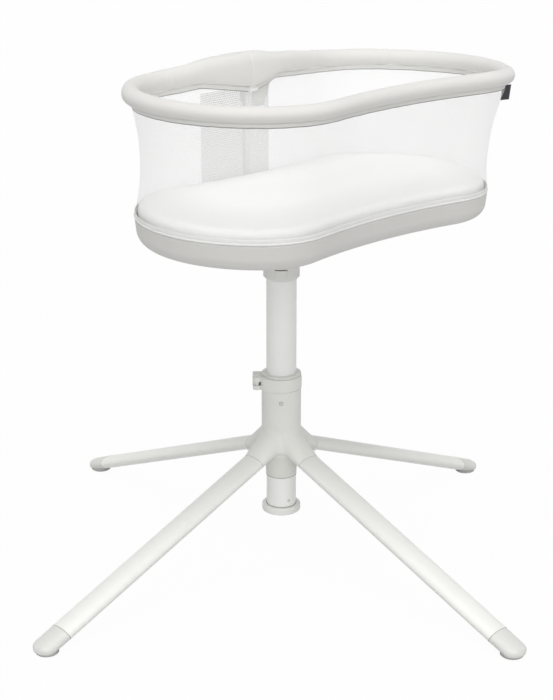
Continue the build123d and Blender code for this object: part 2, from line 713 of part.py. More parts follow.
# Fabric cover drawn around the pan and turned under it
with BuildPart() as base_cover:
    add(pan_body(0, pan_bottom - COVER_THICK, PAN_CORNER + COVER_THICK))
    add(pan_body(-COVER_THICK, pan_bottom, PAN_CORNER), mode=Mode.SUBTRACT)
    extrude(outline_face(pan_bottom - 5, -COVER_TURN), amount=12, mode=Mode.SUBTRACT)
    with BuildSketch(Plane.XY.offset(pan_bottom - 5)):
        with Locations((0, back_waist / 2)):
            Rectangle(TONGUE_WIDTH + 4, back_waist)
        Circle(PLATE_RADIUS + 2)
    extrude(amount=7, mode=Mode.SUBTRACT)
save(base_cover, "base_cover")

with BuildPart() as base_piping:
    add(ring_along(Plane((0, -BASKET_FORWARD, pan_top + PIPING_RADIUS + 0.1)), -1.5, PIPING_RADIUS))
save(base_piping, "base_piping")

with BuildPart() as mattress_board:
    extrude(outline_face(board_bottom + 0.1, -COVER_THICK - PAN_WALL - 3), amount=BOARD_THICK - 0.2)
save(mattress_board, "mattress_board")

# Mattress: soft pad with drawn-in sides and a low crown
mattress_levels = (
    (0, -17),
    (0.1, -11.5),
    (0.3, -9),
    (0.62, -9),
    (0.82, -11),
    (0.92, -15),
    (0.965, -24),
    (1, -80),
)
with BuildPart() as mattress:
    levels = []
    for share, grow in mattress_levels:
        levels.append(outline_face(mattress_bottom + 0.1 + share * MATTRESS_THICK, grow))
    loft(sections=levels, ruled=True)
save(mattress, "mattress")

# Mesh wall, open at the back over the rim's bracket
with BuildPart() as mesh_wall:
    add(mesh_shell(0, WALL_THICK))
    with BuildSketch(Plane((0, rim_back, bracket_base - 4))):
        Rectangle(2 * WALL_OPENING + 8, 120)
    extrude(amount=100, mode=Mode.SUBTRACT)
save(mesh_wall, "mesh_wall")

# Post at the back that carries the rim, and the outer mesh panel behind it
with BuildPart() as rim_post:
    with BuildSketch(Plane((0, rim_post_y, pan_bottom))):
        RectangleRounded(RIM_POST_WIDTH, RIM_POST_DEPTH, 2)
    extrude(amount=rim_post_top - pan_bottom)
save(rim_post, "rim_post")

panel_y = rim_post_y + RIM_POST_DEPTH / 2 + 4.5
with BuildPart() as back_panel:
    with BuildSketch(Plane.XY.offset(wall_bottom + 3)):
        with BuildLine():
            right_sag = PANEL_SAG * (PANEL_RIGHT / PANEL_LEFT) ** 2
            ThreePointArc((-PANEL_LEFT, panel_y - PANEL_SAG), (0, panel_y), (PANEL_RIGHT, panel_y - right_sag))
        trace(line_width=WALL_THICK)
    extrude(amount=bolster_bottom - 4 - wall_bottom - 3)
save(back_panel, "back_panel")

# Bracket on the post, hinge pin, and the knuckle that holds the rim tube
with BuildPart() as hinge_bracket:
    with BuildSketch(Plane((0, rim_post_y, sleeve_bottom))):
        Rectangle(RIM_POST_WIDTH + 6, RIM_POST_DEPTH + 5)
        Rectangle(RIM_POST_WIDTH + 2 * FIT, RIM_POST_DEPTH + 2 * FIT, mode=Mode.SUBTRACT)
    extrude(amount=rim_post_top - sleeve_bottom)
    with BuildSketch(Plane((0, rim_post_y, bracket_base))):
        Rectangle(2 * EAR_SPAN + 10, RIM_POST_DEPTH + 5)
        with Locations((0, -12)):
            Rectangle(22, 24)
    extrude(amount=bracket_seat - bracket_base)
    for side in (-1, 1):
        ear_plane = Plane((side * EAR_SPAN, rim_post_y, hinge_z), x_dir=(0, side, 0), z_dir=(side, 0, 0))
        with BuildSketch(ear_plane):
            Circle(7.5)
            with Locations((0, -(hinge_z - bracket_base) / 2)):
                Rectangle(RIM_POST_DEPTH + 5, hinge_z - bracket_base)
            Circle(HINGE_PIN_RADIUS + FIT, mode=Mode.SUBTRACT)
        extrude(amount=5)
    with BuildSketch(Plane((0, rim_post_y - 14, bracket_seat))):
        Rectangle(20, 14)
    extrude(amount=3.6)
save(hinge_bracket, "hinge_bracket")

with BuildPart() as hinge_pin:
    with BuildSketch(Plane.YZ.offset(-EAR_SPAN - 8)):
        with Locations((rim_post_y, hinge_z)):
            Circle(HINGE_PIN_RADIUS)
    extrude(amount=2 * EAR_SPAN + 16)
    for side in (-1, 1):
        with BuildSketch(Plane((side * (EAR_SPAN + 5.2), rim_post_y, hinge_z), z_dir=(side, 0, 0))):
            Circle(HINGE_PIN_RADIUS + 2)
        extrude(amount=2.8)
save(hinge_pin, "hinge_pin")

with BuildPart() as rim_knuckle:
    with BuildSketch(Plane.YZ.offset(-EAR_SPAN + 0.5)):
        with Locations((rim_post_y, hinge_z)):
            Circle(8)
        with Locations((rim_back, rim_z)):
            Circle(RIM_TUBE_RADIUS + 4)
        make_hull()
        with Locations((rim_post_y, hinge_z)):
            Circle(HINGE_PIN_RADIUS + FIT, mode=Mode.SUBTRACT)
    extrude(amount=2 * EAR_SPAN - 1)
    with BuildSketch(Plane.XY.offset(hinge_z - 12)):
        with Locations((0, rim_post_y - 10)):
            Rectangle(23, 60)
    extrude(amount=HINGE_DROP, mode=Mode.SUBTRACT)
    add(back_bar(RIM_TUBE_RADIUS + FIT), mode=Mode.SUBTRACT)
save(rim_knuckle, "rim_knuckle")

# Hairpin leaf around the pin that lifts the rim again
with BuildPart() as return_spring:
    loop_radius = HINGE_PIN_RADIUS + 1.3
    lift_angle = degrees(atan2(rim_z - 11 - hinge_z, rim_back - 2 - rim_post_y))
    with BuildSketch(Plane.YZ.offset(-10)):
        with BuildLine(mode=Mode.PRIVATE) as hairpin:
            low = Line((rim_post_y - 20, hinge_z - loop_radius), (rim_post_y, hinge_z - loop_radius))
            turn = CenterArc((rim_post_y, hinge_z), loop_radius, -90, lift_angle)
            Line(turn @ 1, turn @ 1 + HINGE_DROP / 2 * (turn % 1))
        trace(hairpin.edges(), line_width=1.4)
    extrude(amount=20)
save(return_spring, "return_spring")

# Rim: tube, padded roll, hem under the roll, and the thick bolster over the bracket
with BuildPart() as rim_tube:
    add(ring_along(rim_plane, RIM_GROW, RIM_TUBE_RADIUS, RIM_TUBE_RADIUS - RIM_TUBE_WALL))
save(rim_tube, "rim_tube")

with BuildPart() as rim_pad:
    add(ring_along(rim_plane, RIM_GROW, RIM_PAD_RADIUS, RIM_TUBE_RADIUS + RUN))
    with BuildSketch(Plane((0, rim_back, rim_z - 2 * RIM_PAD_RADIUS))):
        Rectangle(2 * (BOLSTER_HALF + GAP), 160)
    extrude(amount=4 * RIM_PAD_RADIUS, mode=Mode.SUBTRACT)
save(rim_pad, "rim_pad")

with BuildPart() as rim_hem:
    extrude(outline_face(hem_bottom, RIM_GROW + HEM_OFFSET + HEM_THICK / 2, RIM_FORWARD), amount=HEM_HEIGHT)
    inner_hem = outline_face(hem_bottom, RIM_GROW + HEM_OFFSET - HEM_THICK / 2, RIM_FORWARD)
    extrude(inner_hem, amount=HEM_HEIGHT, mode=Mode.SUBTRACT)
    with BuildSketch(Plane((0, rim_back, hem_bottom))):
        Rectangle(2 * WALL_OPENING + 4, 160)
    extrude(amount=HEM_HEIGHT, mode=Mode.SUBTRACT)
save(rim_hem, "rim_hem")

bolster_mid = (bolster_top + bolster_bottom) / 2
cavity_half = EAR_SPAN + 11
with BuildPart() as back_bolster:
    with BuildSketch(Plane.YZ.offset(-cavity_half)):
        with Locations((bolster_y, bolster_mid)):
            RectangleRounded(BOLSTER_THICK, BOLSTER_HEIGHT, 17)
        with Locations((rim_post_y - 10, (rim_z + 15 + bolster_bottom - 5) / 2)):
            Rectangle(42, rim_z + 20 - bolster_bottom, mode=Mode.SUBTRACT)
    extrude(amount=2 * cavity_half)
    for side in (-1, 1):
        roll = 2 * RIM_PAD_RADIUS
        middle = 0.7 * BOLSTER_HALF
        ends = (
            (cavity_half, bolster_y, bolster_mid, BOLSTER_THICK, BOLSTER_HEIGHT, 17),
            (middle, rim_line(middle), rim_z + BOLSTER_ARCH, 1.1 * roll, 1.05 * roll, 0.5 * roll),
            (BOLSTER_HALF, rim_line(BOLSTER_HALF), rim_z, roll, roll, 0.495 * roll),
        )
        sections = []
        for x, y, z, thick, height, corner in ends:
            with BuildSketch(Plane((side * x, y, z), x_dir=(0, 1, 0), z_dir=(1, 0, 0))) as section:
                RectangleRounded(thick, height, corner)
            sections.append(section.sketch)
        for first, second in zip(sections, sections[1:]):
            loft(sections=[first, second], ruled=True)
    add(back_bar(RIM_TUBE_RADIUS + RUN), mode=Mode.SUBTRACT)
save(back_bolster, "back_bolster")

# Blank label tab that stands out from the hem, at the right-hand front
tab_root = END_RADIUS + RIM_GROW + HEM_OFFSET + HEM_THICK / 2 + 0.6
tab_start = Vector(end_x, -RIM_FORWARD, hem_bottom + 2 - TAB_HEIGHT) + Vector(*ray(TAB_PLACE)) * tab_root
with BuildPart() as label_tab:
    with BuildSketch(Plane(tab_start, x_dir=ray(TAB_TURN), z_dir=(0, 0, 1))):
        with Locations((TAB_WIDTH / 2, 0)):
            Rectangle(TAB_WIDTH, 1)
    extrude(amount=TAB_HEIGHT)
save(label_tab, "label_tab")
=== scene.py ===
"""Bassinet on stand: soft goods, materials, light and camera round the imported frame."""
import math

import bpy
import numpy as np
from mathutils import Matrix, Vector


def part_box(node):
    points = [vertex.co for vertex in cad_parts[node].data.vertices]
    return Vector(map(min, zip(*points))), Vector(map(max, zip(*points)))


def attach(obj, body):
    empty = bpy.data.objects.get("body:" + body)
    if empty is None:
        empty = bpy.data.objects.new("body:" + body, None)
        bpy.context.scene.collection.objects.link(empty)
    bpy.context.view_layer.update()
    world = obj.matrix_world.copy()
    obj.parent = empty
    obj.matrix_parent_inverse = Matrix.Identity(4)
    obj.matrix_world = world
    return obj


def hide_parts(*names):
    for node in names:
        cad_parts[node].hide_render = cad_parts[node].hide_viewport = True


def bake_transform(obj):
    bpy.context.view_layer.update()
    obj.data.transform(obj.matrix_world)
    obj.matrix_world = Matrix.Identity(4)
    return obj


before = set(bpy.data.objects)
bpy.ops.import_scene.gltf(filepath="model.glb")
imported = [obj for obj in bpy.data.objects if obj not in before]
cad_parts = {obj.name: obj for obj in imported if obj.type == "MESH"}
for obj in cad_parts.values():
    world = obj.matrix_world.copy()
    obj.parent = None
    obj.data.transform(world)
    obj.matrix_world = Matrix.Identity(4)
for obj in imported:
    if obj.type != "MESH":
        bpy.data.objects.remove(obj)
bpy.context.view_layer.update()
MM = 0.001


def level(node, end):
    """Height of a node's foot (end 0) or top (end 1), in millimetres."""
    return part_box(node)[end].z / MM


# Sizes are in millimetres and typed angles in degrees, unless a comment says otherwise. Grow is outward
# from the basket's plan, and forward is towards -Y.

# Plan of the basket: tangent arcs, the same in all four quarters
BASKET_LENGTH = 794
BASKET_WIDTH = 430
WAIST_WIDTH = 388
END_RADIUS = 245
LOBE_RADIUS = 140
BASKET_FORWARD = 99
RIM_FORWARD = 118
END_X = BASKET_LENGTH / 2 - END_RADIUS
BACK_STATIONS = 400
LEAST_STEP = 0.3

# Padded rim. Tops and lows are heights over the distance along the plan from the middle of the back
RIM_GROW = 12.5
ROLL_HALF_THICK = 17
ROLL_WAVE = 0.35
ROLL_PUFF = 0.25
BOLSTER_HALF_THICK = 27
BOLSTER_FULL = 38
BOLSTER_END = 190
BOLSTER_OUT = 3
BOLSTER_SQUARENESS = 0.9
RIM_START = -250
RIM_TOPS = (
    (-250, 1064.5), (-190, 1069.2), (-150, 1074.4), (-125, 1079.5), (-75, 1082), (0, 1083.8),
    (30, 1081), (62, 1074), (100, 1072.5), (150, 1068), (200, 1063), (240, 1059), (290, 1056.5),
    (450, 1056), (540, 1057.5), (700, 1059.5), (760, 1062), (830, 1065.5), (1130, 1064.8),
    (1340, 1063), (1480, 1061.5), (1640, 1063), (1870, 1064.5),
)
RIM_LOWS = (
    (-250, 1024), (-190, 1027), (-135, 1032), (-75, 1023), (-10, 1012), (6, 1012), (54, 1025),
    (66, 1032), (135, 1028.5), (190, 1025.5), (230, 1023), (450, 1023), (540, 1025), (640, 1026.5),
    (760, 1030), (830, 1033.5), (1340, 1033.5), (1480, 1032.3), (1640, 1031), (1760, 1028),
    (1870, 1024),
)
TOP_BLUR = 16
LOW_BLUR = 7
SEAMS = (-222, -17, 187, 376)
SEAM_PINCH = 1.2
SEAM_WIDTH = 1.2
PUCKER_DEPTH = 0.4
PUCKER_WIDTH = 12

# Hem under the roll, and a dark cord under the hem as a painted shadow line
HEM_GROW = 9.5
HEM_HEIGHT = 8.8
HEM_HALF_THICK = 2
HEM_WAVE = 0.3
SHADOW_LINE_HEIGHT = 2.2
SHADOW_LINE_HALF_THICK = 0.8
SHADOW_LINE_PROUD = 0.2
SHADOW_LINE_TUCK = 0.3

# Gusset beside the rim's post
FLAP_INNER = 10
FLAP_OUTER = 60
FLAP_TAPER = 7
FLAP_TOP = 1018
FLAP_TOP_RISE = 10
FLAP_FOOT = 970
FLAP_FOOT_RISE = 2
FLAP_CORNER_START = 0.62
FLAP_CORNER_RISE = 26
FLAP_BACK = 96
FLAP_LEAN = 2.5
FLAP_BELLY = 3
FLAP_THICK = 0.9

# Net wall, the tape at its foot and the outer net behind the post
WALL_LOW = level("mesh_wall", 0)
WALL_HIGH = level("mesh_wall", 1)
WALL_GROWS = (-1, -7.75, 9.5)
WALL_TUCK = 1.5
WALL_GATHER = 0.5
WALL_GATHER_FADE = (0.02, 0.3)
TAPE_HEIGHT = 7.5
TAPE_HALF_THICK = 0.7
TAPE_GROW = -1.2
TAPE_DROP = 1
TAPE_WAVE = 0.2
PANEL_LEFT = -125
PANEL_RIGHT = 70
PANEL_BACK = 113
PANEL_SAG = 9
PANEL_CLEAR = 0.5
PANEL_LOW = level("back_panel", 0) + PANEL_CLEAR
PANEL_HIGH = level("back_panel", 1)

# Tray cover and the welt on its edge. The lip gives outward moves and heights over the tray's top
TRAY_TOP = level("base_cover", 1)
TRAY_BOTTOM = level("base_cover", 0)
TRAY_LIP = ((-4.0, -1.2), (-2.6, 0.2), (-1.0, 0.1), (-0.15, -1.0))
TRAY_CORNER = 29.2
TRAY_DRAFT = math.radians(6)
TRAY_TURN = 75
TRAY_ROW_BIAS = 1.15
TRAY_WAVE = 0.22
TRAY_WAVE_START = (6, 20)
TRAY_WAVE_END = (60, 90)
TRAY_GATHER = 0.9
TRAY_GATHER_SINK = 0.4
TRAY_GATHER_START = 30
TRAY_GATHER_FULL = 4
PLATE_CLEAR = 81
TONGUE_CLEAR = 25
TONGUE_HEADROOM = 2.6
TONGUE_TOP = level("mount_plate", 1) + TONGUE_HEADROOM
WELT_RADIUS = 2.3
WELT_GROW = -1.4
WELT_LIFT = 0.1

# Mattress. The side gives outward moves over the share of the height, before it swells
MATTRESS_FOOT_CLEAR = 0.3
MATTRESS_TOP_CLEAR = 0.1
MATTRESS_LOW = level("mattress", 0) + MATTRESS_FOOT_CLEAR
MATTRESS_HIGH = level("mattress", 1) - MATTRESS_TOP_CLEAR
MATTRESS_SIDE = (
    (0, -13), (0.1, -9), (0.22, -7.5), (0.36, -5.2), (0.5, -5), (0.65, -5.6), (0.78, -6.4),
    (0.9, -8.2), (0.97, -12.5), (1, -22), (1, -95),
)
MATTRESS_SWELL = 5
MATTRESS_HELD = 3
MATTRESS_PRESSURE = 4.0
MATTRESS_CAP = 2.0

# Ribbon label on the hem; its place is an angle about the centre of the rim's right end
LABEL_PLACE = -40
LABEL_GROW = 11.4
LABEL_RAY = -16
LABEL_LOW = 987.5
LABEL_HIGH = 1017.5
LABEL_REACH = 21.5
LABEL_GAP = 0.8
LABEL_SLANT = 4
LABEL_SLANT_POWER = 1.3
LABEL_CURL = 1.2
LABEL_CURL_FIRST = 0.4
LABEL_CURL_SWEEP = 2.2
LABEL_THICK = 0.5

# Stand
LEG_ANGLES = {"right": 0, "rear": 90, "left": 180, "front": 270}
LEG_ROOT_Z = 267
LEG_DROP = 253
LEG_REACH = 636
LEG_SLOPE = math.atan2(LEG_DROP, LEG_REACH)
LEG_HALF_WIDTH = 28
LEG_HALF_HEIGHT = 14.5
HUB_SEAM = 82
FOOT_SEAM = 600
TOE_BLEND = (2, 16)
POST_RADIUS = 31.75
COLUMN_RADIUS = 42
SKIRT_BOTTOM = level("lower_bush", 0)
CAP_TOP = level("post_tube", 0)
COLLAR_FOOT = level("hub", 1)
SEAL_SQUARENESS = 2.4
SEAL_SIDES = 10
SEAL_GIRTH = 5
LEG_SEAL_HALF_WIDE = 0.9
LEG_SEAL_HALF_TALL = 0.55
LEG_SEAL_SINK = 0.65
LEG_SEAL_ROUND = 140
RING_ROUND = 200

# Noise scales of the materials, in waves per metre
FLOW_SCALE = 9.0
SPECK_SCALE = 160.0
DRAWN_SCALE = 700.0
YARN_SCALE = 650.0
SOFT_SHADE_SCALE = 7.0
NET_YARN_SCALE = 900.0

# Row of stitches; the share is how much of the pitch the thread covers
STITCH_PITCH = 3.2
STITCH_SHARE = 0.66
STITCH_HALF = 0.35

# Floor, light and camera. The floor and the camera's place are in metres
FLOOR_HALF = 14
FLOOR_GREY = 0.65
FLOOR_WHITE_SHARE = 0.97
WORLD_STRENGTH = 0.38
SUNS = {
    "overhead": {"direction": (0.2, 0.2, -1), "strength": 1.75, "angle": 55},
    "front": {"direction": (0.61, 0.71, -0.35), "strength": 0.8, "angle": 32},
}
CAMERA_LENS = 81.3
CAMERA_SENSOR = 36
CAMERA_PLACE = (-2.2125, -2.2485, 1.5495)
CAMERA_DOWN = 18.96
CAMERA_TURN = -44.35


# Lines and meshes


def arc_length(points):
    """Distance along a line of points from its first one."""
    return np.r_[0, np.cumsum(np.linalg.norm(np.diff(points, axis=0), axis=1))]


def full_turn(count):
    """Angles all round, in radians."""
    return np.linspace(0, 2 * math.pi, count, endpoint=False)


def heading(angle):
    """Unit vector in plan at an angle."""
    return np.array((math.cos(math.radians(angle)), math.sin(math.radians(angle))))


def smooth(x, low, high):
    """0 up to low, 1 from high on, and an even ramp between them."""
    t = np.clip((x - low) / (high - low), 0, 1)
    return t * t * (3 - 2 * t)


def squared(wave, power):
    """A sine or cosine drawn out towards a square; a power of 2 leaves it round."""
    return np.sign(wave) * np.abs(wave) ** (2 / power)


def pillow(half_wide, half_tall, power, around):
    """Closed rounded section as offsets, across and up."""
    turn = full_turn(around)
    wide = squared(np.cos(turn), power) * half_wide
    return np.c_[wide, squared(np.sin(turn), power) * half_tall]


def plan_stations(step=1.0):
    """Points and outward normals round the plan, clockwise from the middle of the back."""
    lobe_y = BASKET_WIDTH / 2 - LOBE_RADIUS
    lobe_x = END_X + math.sqrt((END_RADIUS - LOBE_RADIUS) ** 2 - lobe_y**2)
    half_waist = WAIST_WIDTH / 2
    waist_reach = lobe_x**2 + (half_waist - lobe_y) ** 2 - LOBE_RADIUS**2
    waist_radius = waist_reach / (BASKET_WIDTH - WAIST_WIDTH)
    waist_y = half_waist + waist_radius
    end_angle = math.atan2(lobe_y, lobe_x - END_X)
    waist_angle = math.atan2(waist_y - lobe_y, -lobe_x)
    sweep = waist_angle - math.pi / 2
    up = math.pi / 2
    arcs = (
        ((0, waist_y), waist_radius, -up, sweep - up, -1),
        ((lobe_x, lobe_y), LOBE_RADIUS, waist_angle, end_angle, 1),
        ((END_X, 0), END_RADIUS, end_angle, -end_angle, 1),
        ((lobe_x, -lobe_y), LOBE_RADIUS, -end_angle, -waist_angle, 1),
        ((0, -waist_y), waist_radius, up - sweep, up + sweep, -1),
        ((-lobe_x, -lobe_y), LOBE_RADIUS, waist_angle - math.pi, end_angle - math.pi, 1),
        ((-END_X, 0), END_RADIUS, end_angle - math.pi, -end_angle - math.pi, 1),
        ((-lobe_x, lobe_y), LOBE_RADIUS, -end_angle - math.pi, -waist_angle - math.pi, 1),
        ((0, waist_y), waist_radius, -sweep - up, -up, -1),
    )
    points, normals = [], []
    for centre, radius, first, last, side in arcs:
        count = max(2, int(abs(last - first) * radius / step))
        turn = np.linspace(first, last, count + 1)[:-1]
        ray = np.c_[np.cos(turn), np.sin(turn)]
        points.append(np.array(centre) + radius * ray)
        normals.append(side * ray)
    points = np.vstack(points + [points[0][:1]])
    normals = np.vstack(normals + [normals[0][:1]])
    return points, normals, arc_length(points)


PLAN_POINTS, PLAN_NORMALS, PLAN_RUN = plan_stations()
PLAN_LENGTH = PLAN_RUN[-1]


def plan_at(run):
    """Points and normals at distances along the plan from the middle of the back."""
    run = np.mod(run, PLAN_LENGTH)
    points, normals = (
        np.c_[np.interp(run, PLAN_RUN, values[:, 0]), np.interp(run, PLAN_RUN, values[:, 1])]
        for values in (PLAN_POINTS, PLAN_NORMALS)
    )
    return points, normals / np.linalg.norm(normals, axis=1)[:, None]


def plan_grid(run, grow, forward, height):
    """Grid of points: one row per plan station, with outward moves, forward shifts and heights."""
    points, normals = plan_at(run)
    grid = np.empty(np.broadcast(points[:, :1], grow, height).shape + (3,))
    grid[..., 0] = points[:, :1] + grow * normals[:, :1]
    grid[..., 1] = points[:, 1:] + grow * normals[:, 1:] - forward
    grid[..., 2] = height
    return grid


def stations(step, extra=(), reach=8, fine=0.8):
    """Distances along the plan, closer together round each extra place."""
    run = np.linspace(0, PLAN_LENGTH, int(PLAN_LENGTH / step), endpoint=False)
    for middle in extra:
        run = np.r_[run, np.mod(middle + np.arange(-reach, reach + fine, fine), PLAN_LENGTH)]
    run = np.sort(run)
    return run[np.r_[True, np.diff(run) > LEAST_STEP]]


def signed_gap(run, middle):
    """Distance along the plan from a place, negative before it."""
    return np.mod(run - middle + PLAN_LENGTH / 2, PLAN_LENGTH) - PLAN_LENGTH / 2


def ripple(run, seed, length, terms=5):
    """Seeded smooth wave along a closed run, about -1 to 1."""
    rng = np.random.default_rng(seed)
    base = PLAN_LENGTH / length
    wave = np.zeros_like(run, dtype=float)
    for _ in range(terms):
        turns = round(base * rng.uniform(0.6, 1.6))
        size = rng.uniform(0.5, 1.0)
        wave += size * np.sin(2 * math.pi * turns * run / PLAN_LENGTH + rng.uniform(0, 6.3))
    return wave / (0.55 * terms)


def add_object(name, data):
    piece = bpy.data.objects.new(name, data)
    bpy.context.scene.collection.objects.link(piece)
    return piece


def smooth_faces(mesh):
    mesh.polygons.foreach_set("use_smooth", [True] * len(mesh.polygons))


def grid_object(name, points, u, v, wrap_u=False, wrap_v=False):
    """Quad mesh over a grid of points; u and v place it on the cloth."""
    rows, cols = points.shape[:2]
    i = np.arange(rows if wrap_u else rows - 1)[:, None]
    j = np.arange(cols if wrap_v else cols - 1)[None, :]
    next_i, next_j = (i + 1) % rows, (j + 1) % cols
    corners = [i * cols + j, i * cols + next_j, next_i * cols + next_j, next_i * cols + j]
    quads = np.stack(corners, -1)
    corner_u = np.stack([u[i] + 0 * j, u[i] + 0 * j, u[i + 1] + 0 * j, u[i + 1] + 0 * j], -1)
    corner_v = np.stack([v[j] + 0 * i, v[j + 1] + 0 * i, v[j + 1] + 0 * i, v[j] + 0 * i], -1)
    mesh = bpy.data.meshes.new(name)
    mesh.from_pydata((points.reshape(-1, 3) * MM).tolist(), [], quads.reshape(-1, 4).tolist())
    layer = mesh.uv_layers.new(name="cloth")
    layer.data.foreach_set("uv", np.stack([corner_u, corner_v], -1).ravel() * MM)
    smooth_faces(mesh)
    mesh.validate()
    mesh.update()
    return add_object(name, mesh)


def strand(name, run, section, grow, height, forward):
    """Closed strand along the plan: one section, at an outward move and at heights."""
    middle = np.broadcast_to(height, run.shape)[:, None]
    grid = plan_grid(run, grow + section[None, :, 0], forward, middle + section[None, :, 1])
    girth = arc_length(np.vstack([section, section[:1]]))
    return grid_object(name, grid, np.r_[run, PLAN_LENGTH], girth, True, True)


def thicken(piece, thickness):
    solid = piece.modifiers.new("thickness", "SOLIDIFY")
    solid.thickness = thickness * MM
    solid.offset = 0
    return piece


def apply_modifiers(piece):
    graph = bpy.context.evaluated_depsgraph_get()
    done = bpy.data.meshes.new_from_object(piece.evaluated_get(graph))
    piece.modifiers.clear()
    piece.data = done
    return piece


def even_mesh(piece, voxel):
    """Remeshes a closed piece into even voxels."""
    remesh = piece.modifiers.new("even", "REMESH")
    remesh.mode = "VOXEL"
    remesh.voxel_size = voxel * MM
    return apply_modifiers(piece)


def vertex_array(mesh):
    co = np.zeros(len(mesh.vertices) * 3)
    mesh.vertices.foreach_get("co", co)
    return co.reshape(-1, 3)


# Materials


def new_material(name):
    material = bpy.data.materials.new(name)
    material.use_nodes = True
    tree = material.node_tree
    return material, tree, tree.nodes["Principled BSDF"]


def add_node(tree, kind, settings=None, **inputs):
    """Node with settings and inputs; an input named i0, i1 and so on goes by its number."""
    node = tree.nodes.new(kind)
    for key, value in (settings or {}).items():
        setattr(node, key, value)
    for key, value in inputs.items():
        by_number = key[0] == "i" and key[1:].isdigit()
        socket = node.inputs[int(key[1:])] if by_number else node.inputs[key]
        if isinstance(value, bpy.types.NodeSocket):
            tree.links.new(value, socket)
        else:
            socket.default_value = value
    return node


def math_node(tree, operation, first, second=0.0, third=0.0):
    settings = {"operation": operation}
    return add_node(tree, "ShaderNodeMath", settings, i0=first, i1=second, i2=third).outputs[0]


def noise(tree, vector, scale, detail=2.0, roughness=0.6):
    inputs = {"Vector": vector, "Scale": scale, "Detail": detail, "Roughness": roughness}
    return add_node(tree, "ShaderNodeTexNoise", **inputs).outputs["Fac"]


def span(tree, value, low, high):
    """A value from 0 to 1, taken to the range from low to high."""
    return add_node(tree, "ShaderNodeMapRange", i0=value, i3=low, i4=high).outputs[0]


def shade(colour, factor):
    return tuple(min(1.0, c * factor) for c in colour)


def vary(tree, tone, colour, low, high):
    """Colour that runs between low and high times the given one, by a tone from 0 to 1."""
    node = add_node(tree, "ShaderNodeMix", {"data_type": "RGBA"}, i0=tone)
    node.inputs[6].default_value = (*shade(colour, low), 1)
    node.inputs[7].default_value = (*shade(colour, high), 1)
    return node.outputs[2]


def bump(tree, height, strength, distance):
    inputs = {"Height": height, "Strength": strength, "Distance": distance}
    return add_node(tree, "ShaderNodeBump", **inputs).outputs["Normal"]


def plug(tree, shader, colour, roughness, normal):
    for socket, value in (("Base Color", colour), ("Roughness", roughness), ("Normal", normal)):
        tree.links.new(value, shader.inputs[socket])


def object_coords(tree):
    return add_node(tree, "ShaderNodeTexCoord").outputs["Object"]


def cloth_coords(tree):
    """Place on the cloth, along and across it, in metres."""
    uv = add_node(tree, "ShaderNodeUVMap", {"uv_map": "cloth"}).outputs["UV"]
    parts = add_node(tree, "ShaderNodeSeparateXYZ", Vector=uv)
    return parts.outputs["X"], parts.outputs["Y"]


def hex_colour(text):
    """Linear colour from a web colour."""
    parts = [int(text[k : k + 2], 16) / 255 for k in (0, 2, 4)]
    return tuple(c / 12.92 if c <= 0.04045 else ((c + 0.055) / 1.055) ** 2.4 for c in parts)


def moulded(name, web_colour, roughness, grain=1400, depth=0.00004, gloss=0.4):
    """Moulded plastic or paint: fine grain, faint flow marks and a slightly uneven gloss."""
    material, tree, shader = new_material(name)
    coords = object_coords(tree)
    fine = noise(tree, coords, grain)
    flow = noise(tree, coords, FLOW_SCALE, detail=3.0, roughness=0.55)
    speck = noise(tree, coords, SPECK_SCALE, roughness=0.5)
    tone = math_node(tree, "MULTIPLY_ADD", flow, 0.7, math_node(tree, "MULTIPLY", speck, 0.3))
    colour = vary(tree, tone, hex_colour(web_colour), 0.955, 1.045)
    uneven = span(tree, speck, roughness - 0.07, roughness + 0.07)
    plug(tree, shader, colour, uneven, bump(tree, fine, 0.35, depth))
    shader.inputs["Specular IOR Level"].default_value = gloss
    return material


def metal(name, linear_colour, roughness):
    """Drawn metal, with streaks in its colour and gloss."""
    material, tree, shader = new_material(name)
    drawn = noise(tree, object_coords(tree), DRAWN_SCALE, detail=4.0, roughness=0.7)
    colour = vary(tree, drawn, linear_colour, 0.85, 1.1)
    uneven = span(tree, drawn, roughness - 0.1, roughness + 0.12)
    plug(tree, shader, colour, uneven, bump(tree, drawn, 0.2, 0.00003))
    shader.inputs["Metallic"].default_value = 1.0
    return material


def stitch_row(tree, u, v, height):
    """1 on a row of stitches along u at a height, else 0."""
    dash = math_node(tree, "FRACT", math_node(tree, "DIVIDE", u, STITCH_PITCH * MM))
    near = math_node(tree, "COMPARE", v, height * MM, STITCH_HALF * MM)
    return math_node(tree, "MULTIPLY", near, math_node(tree, "LESS_THAN", dash, STITCH_SHARE))


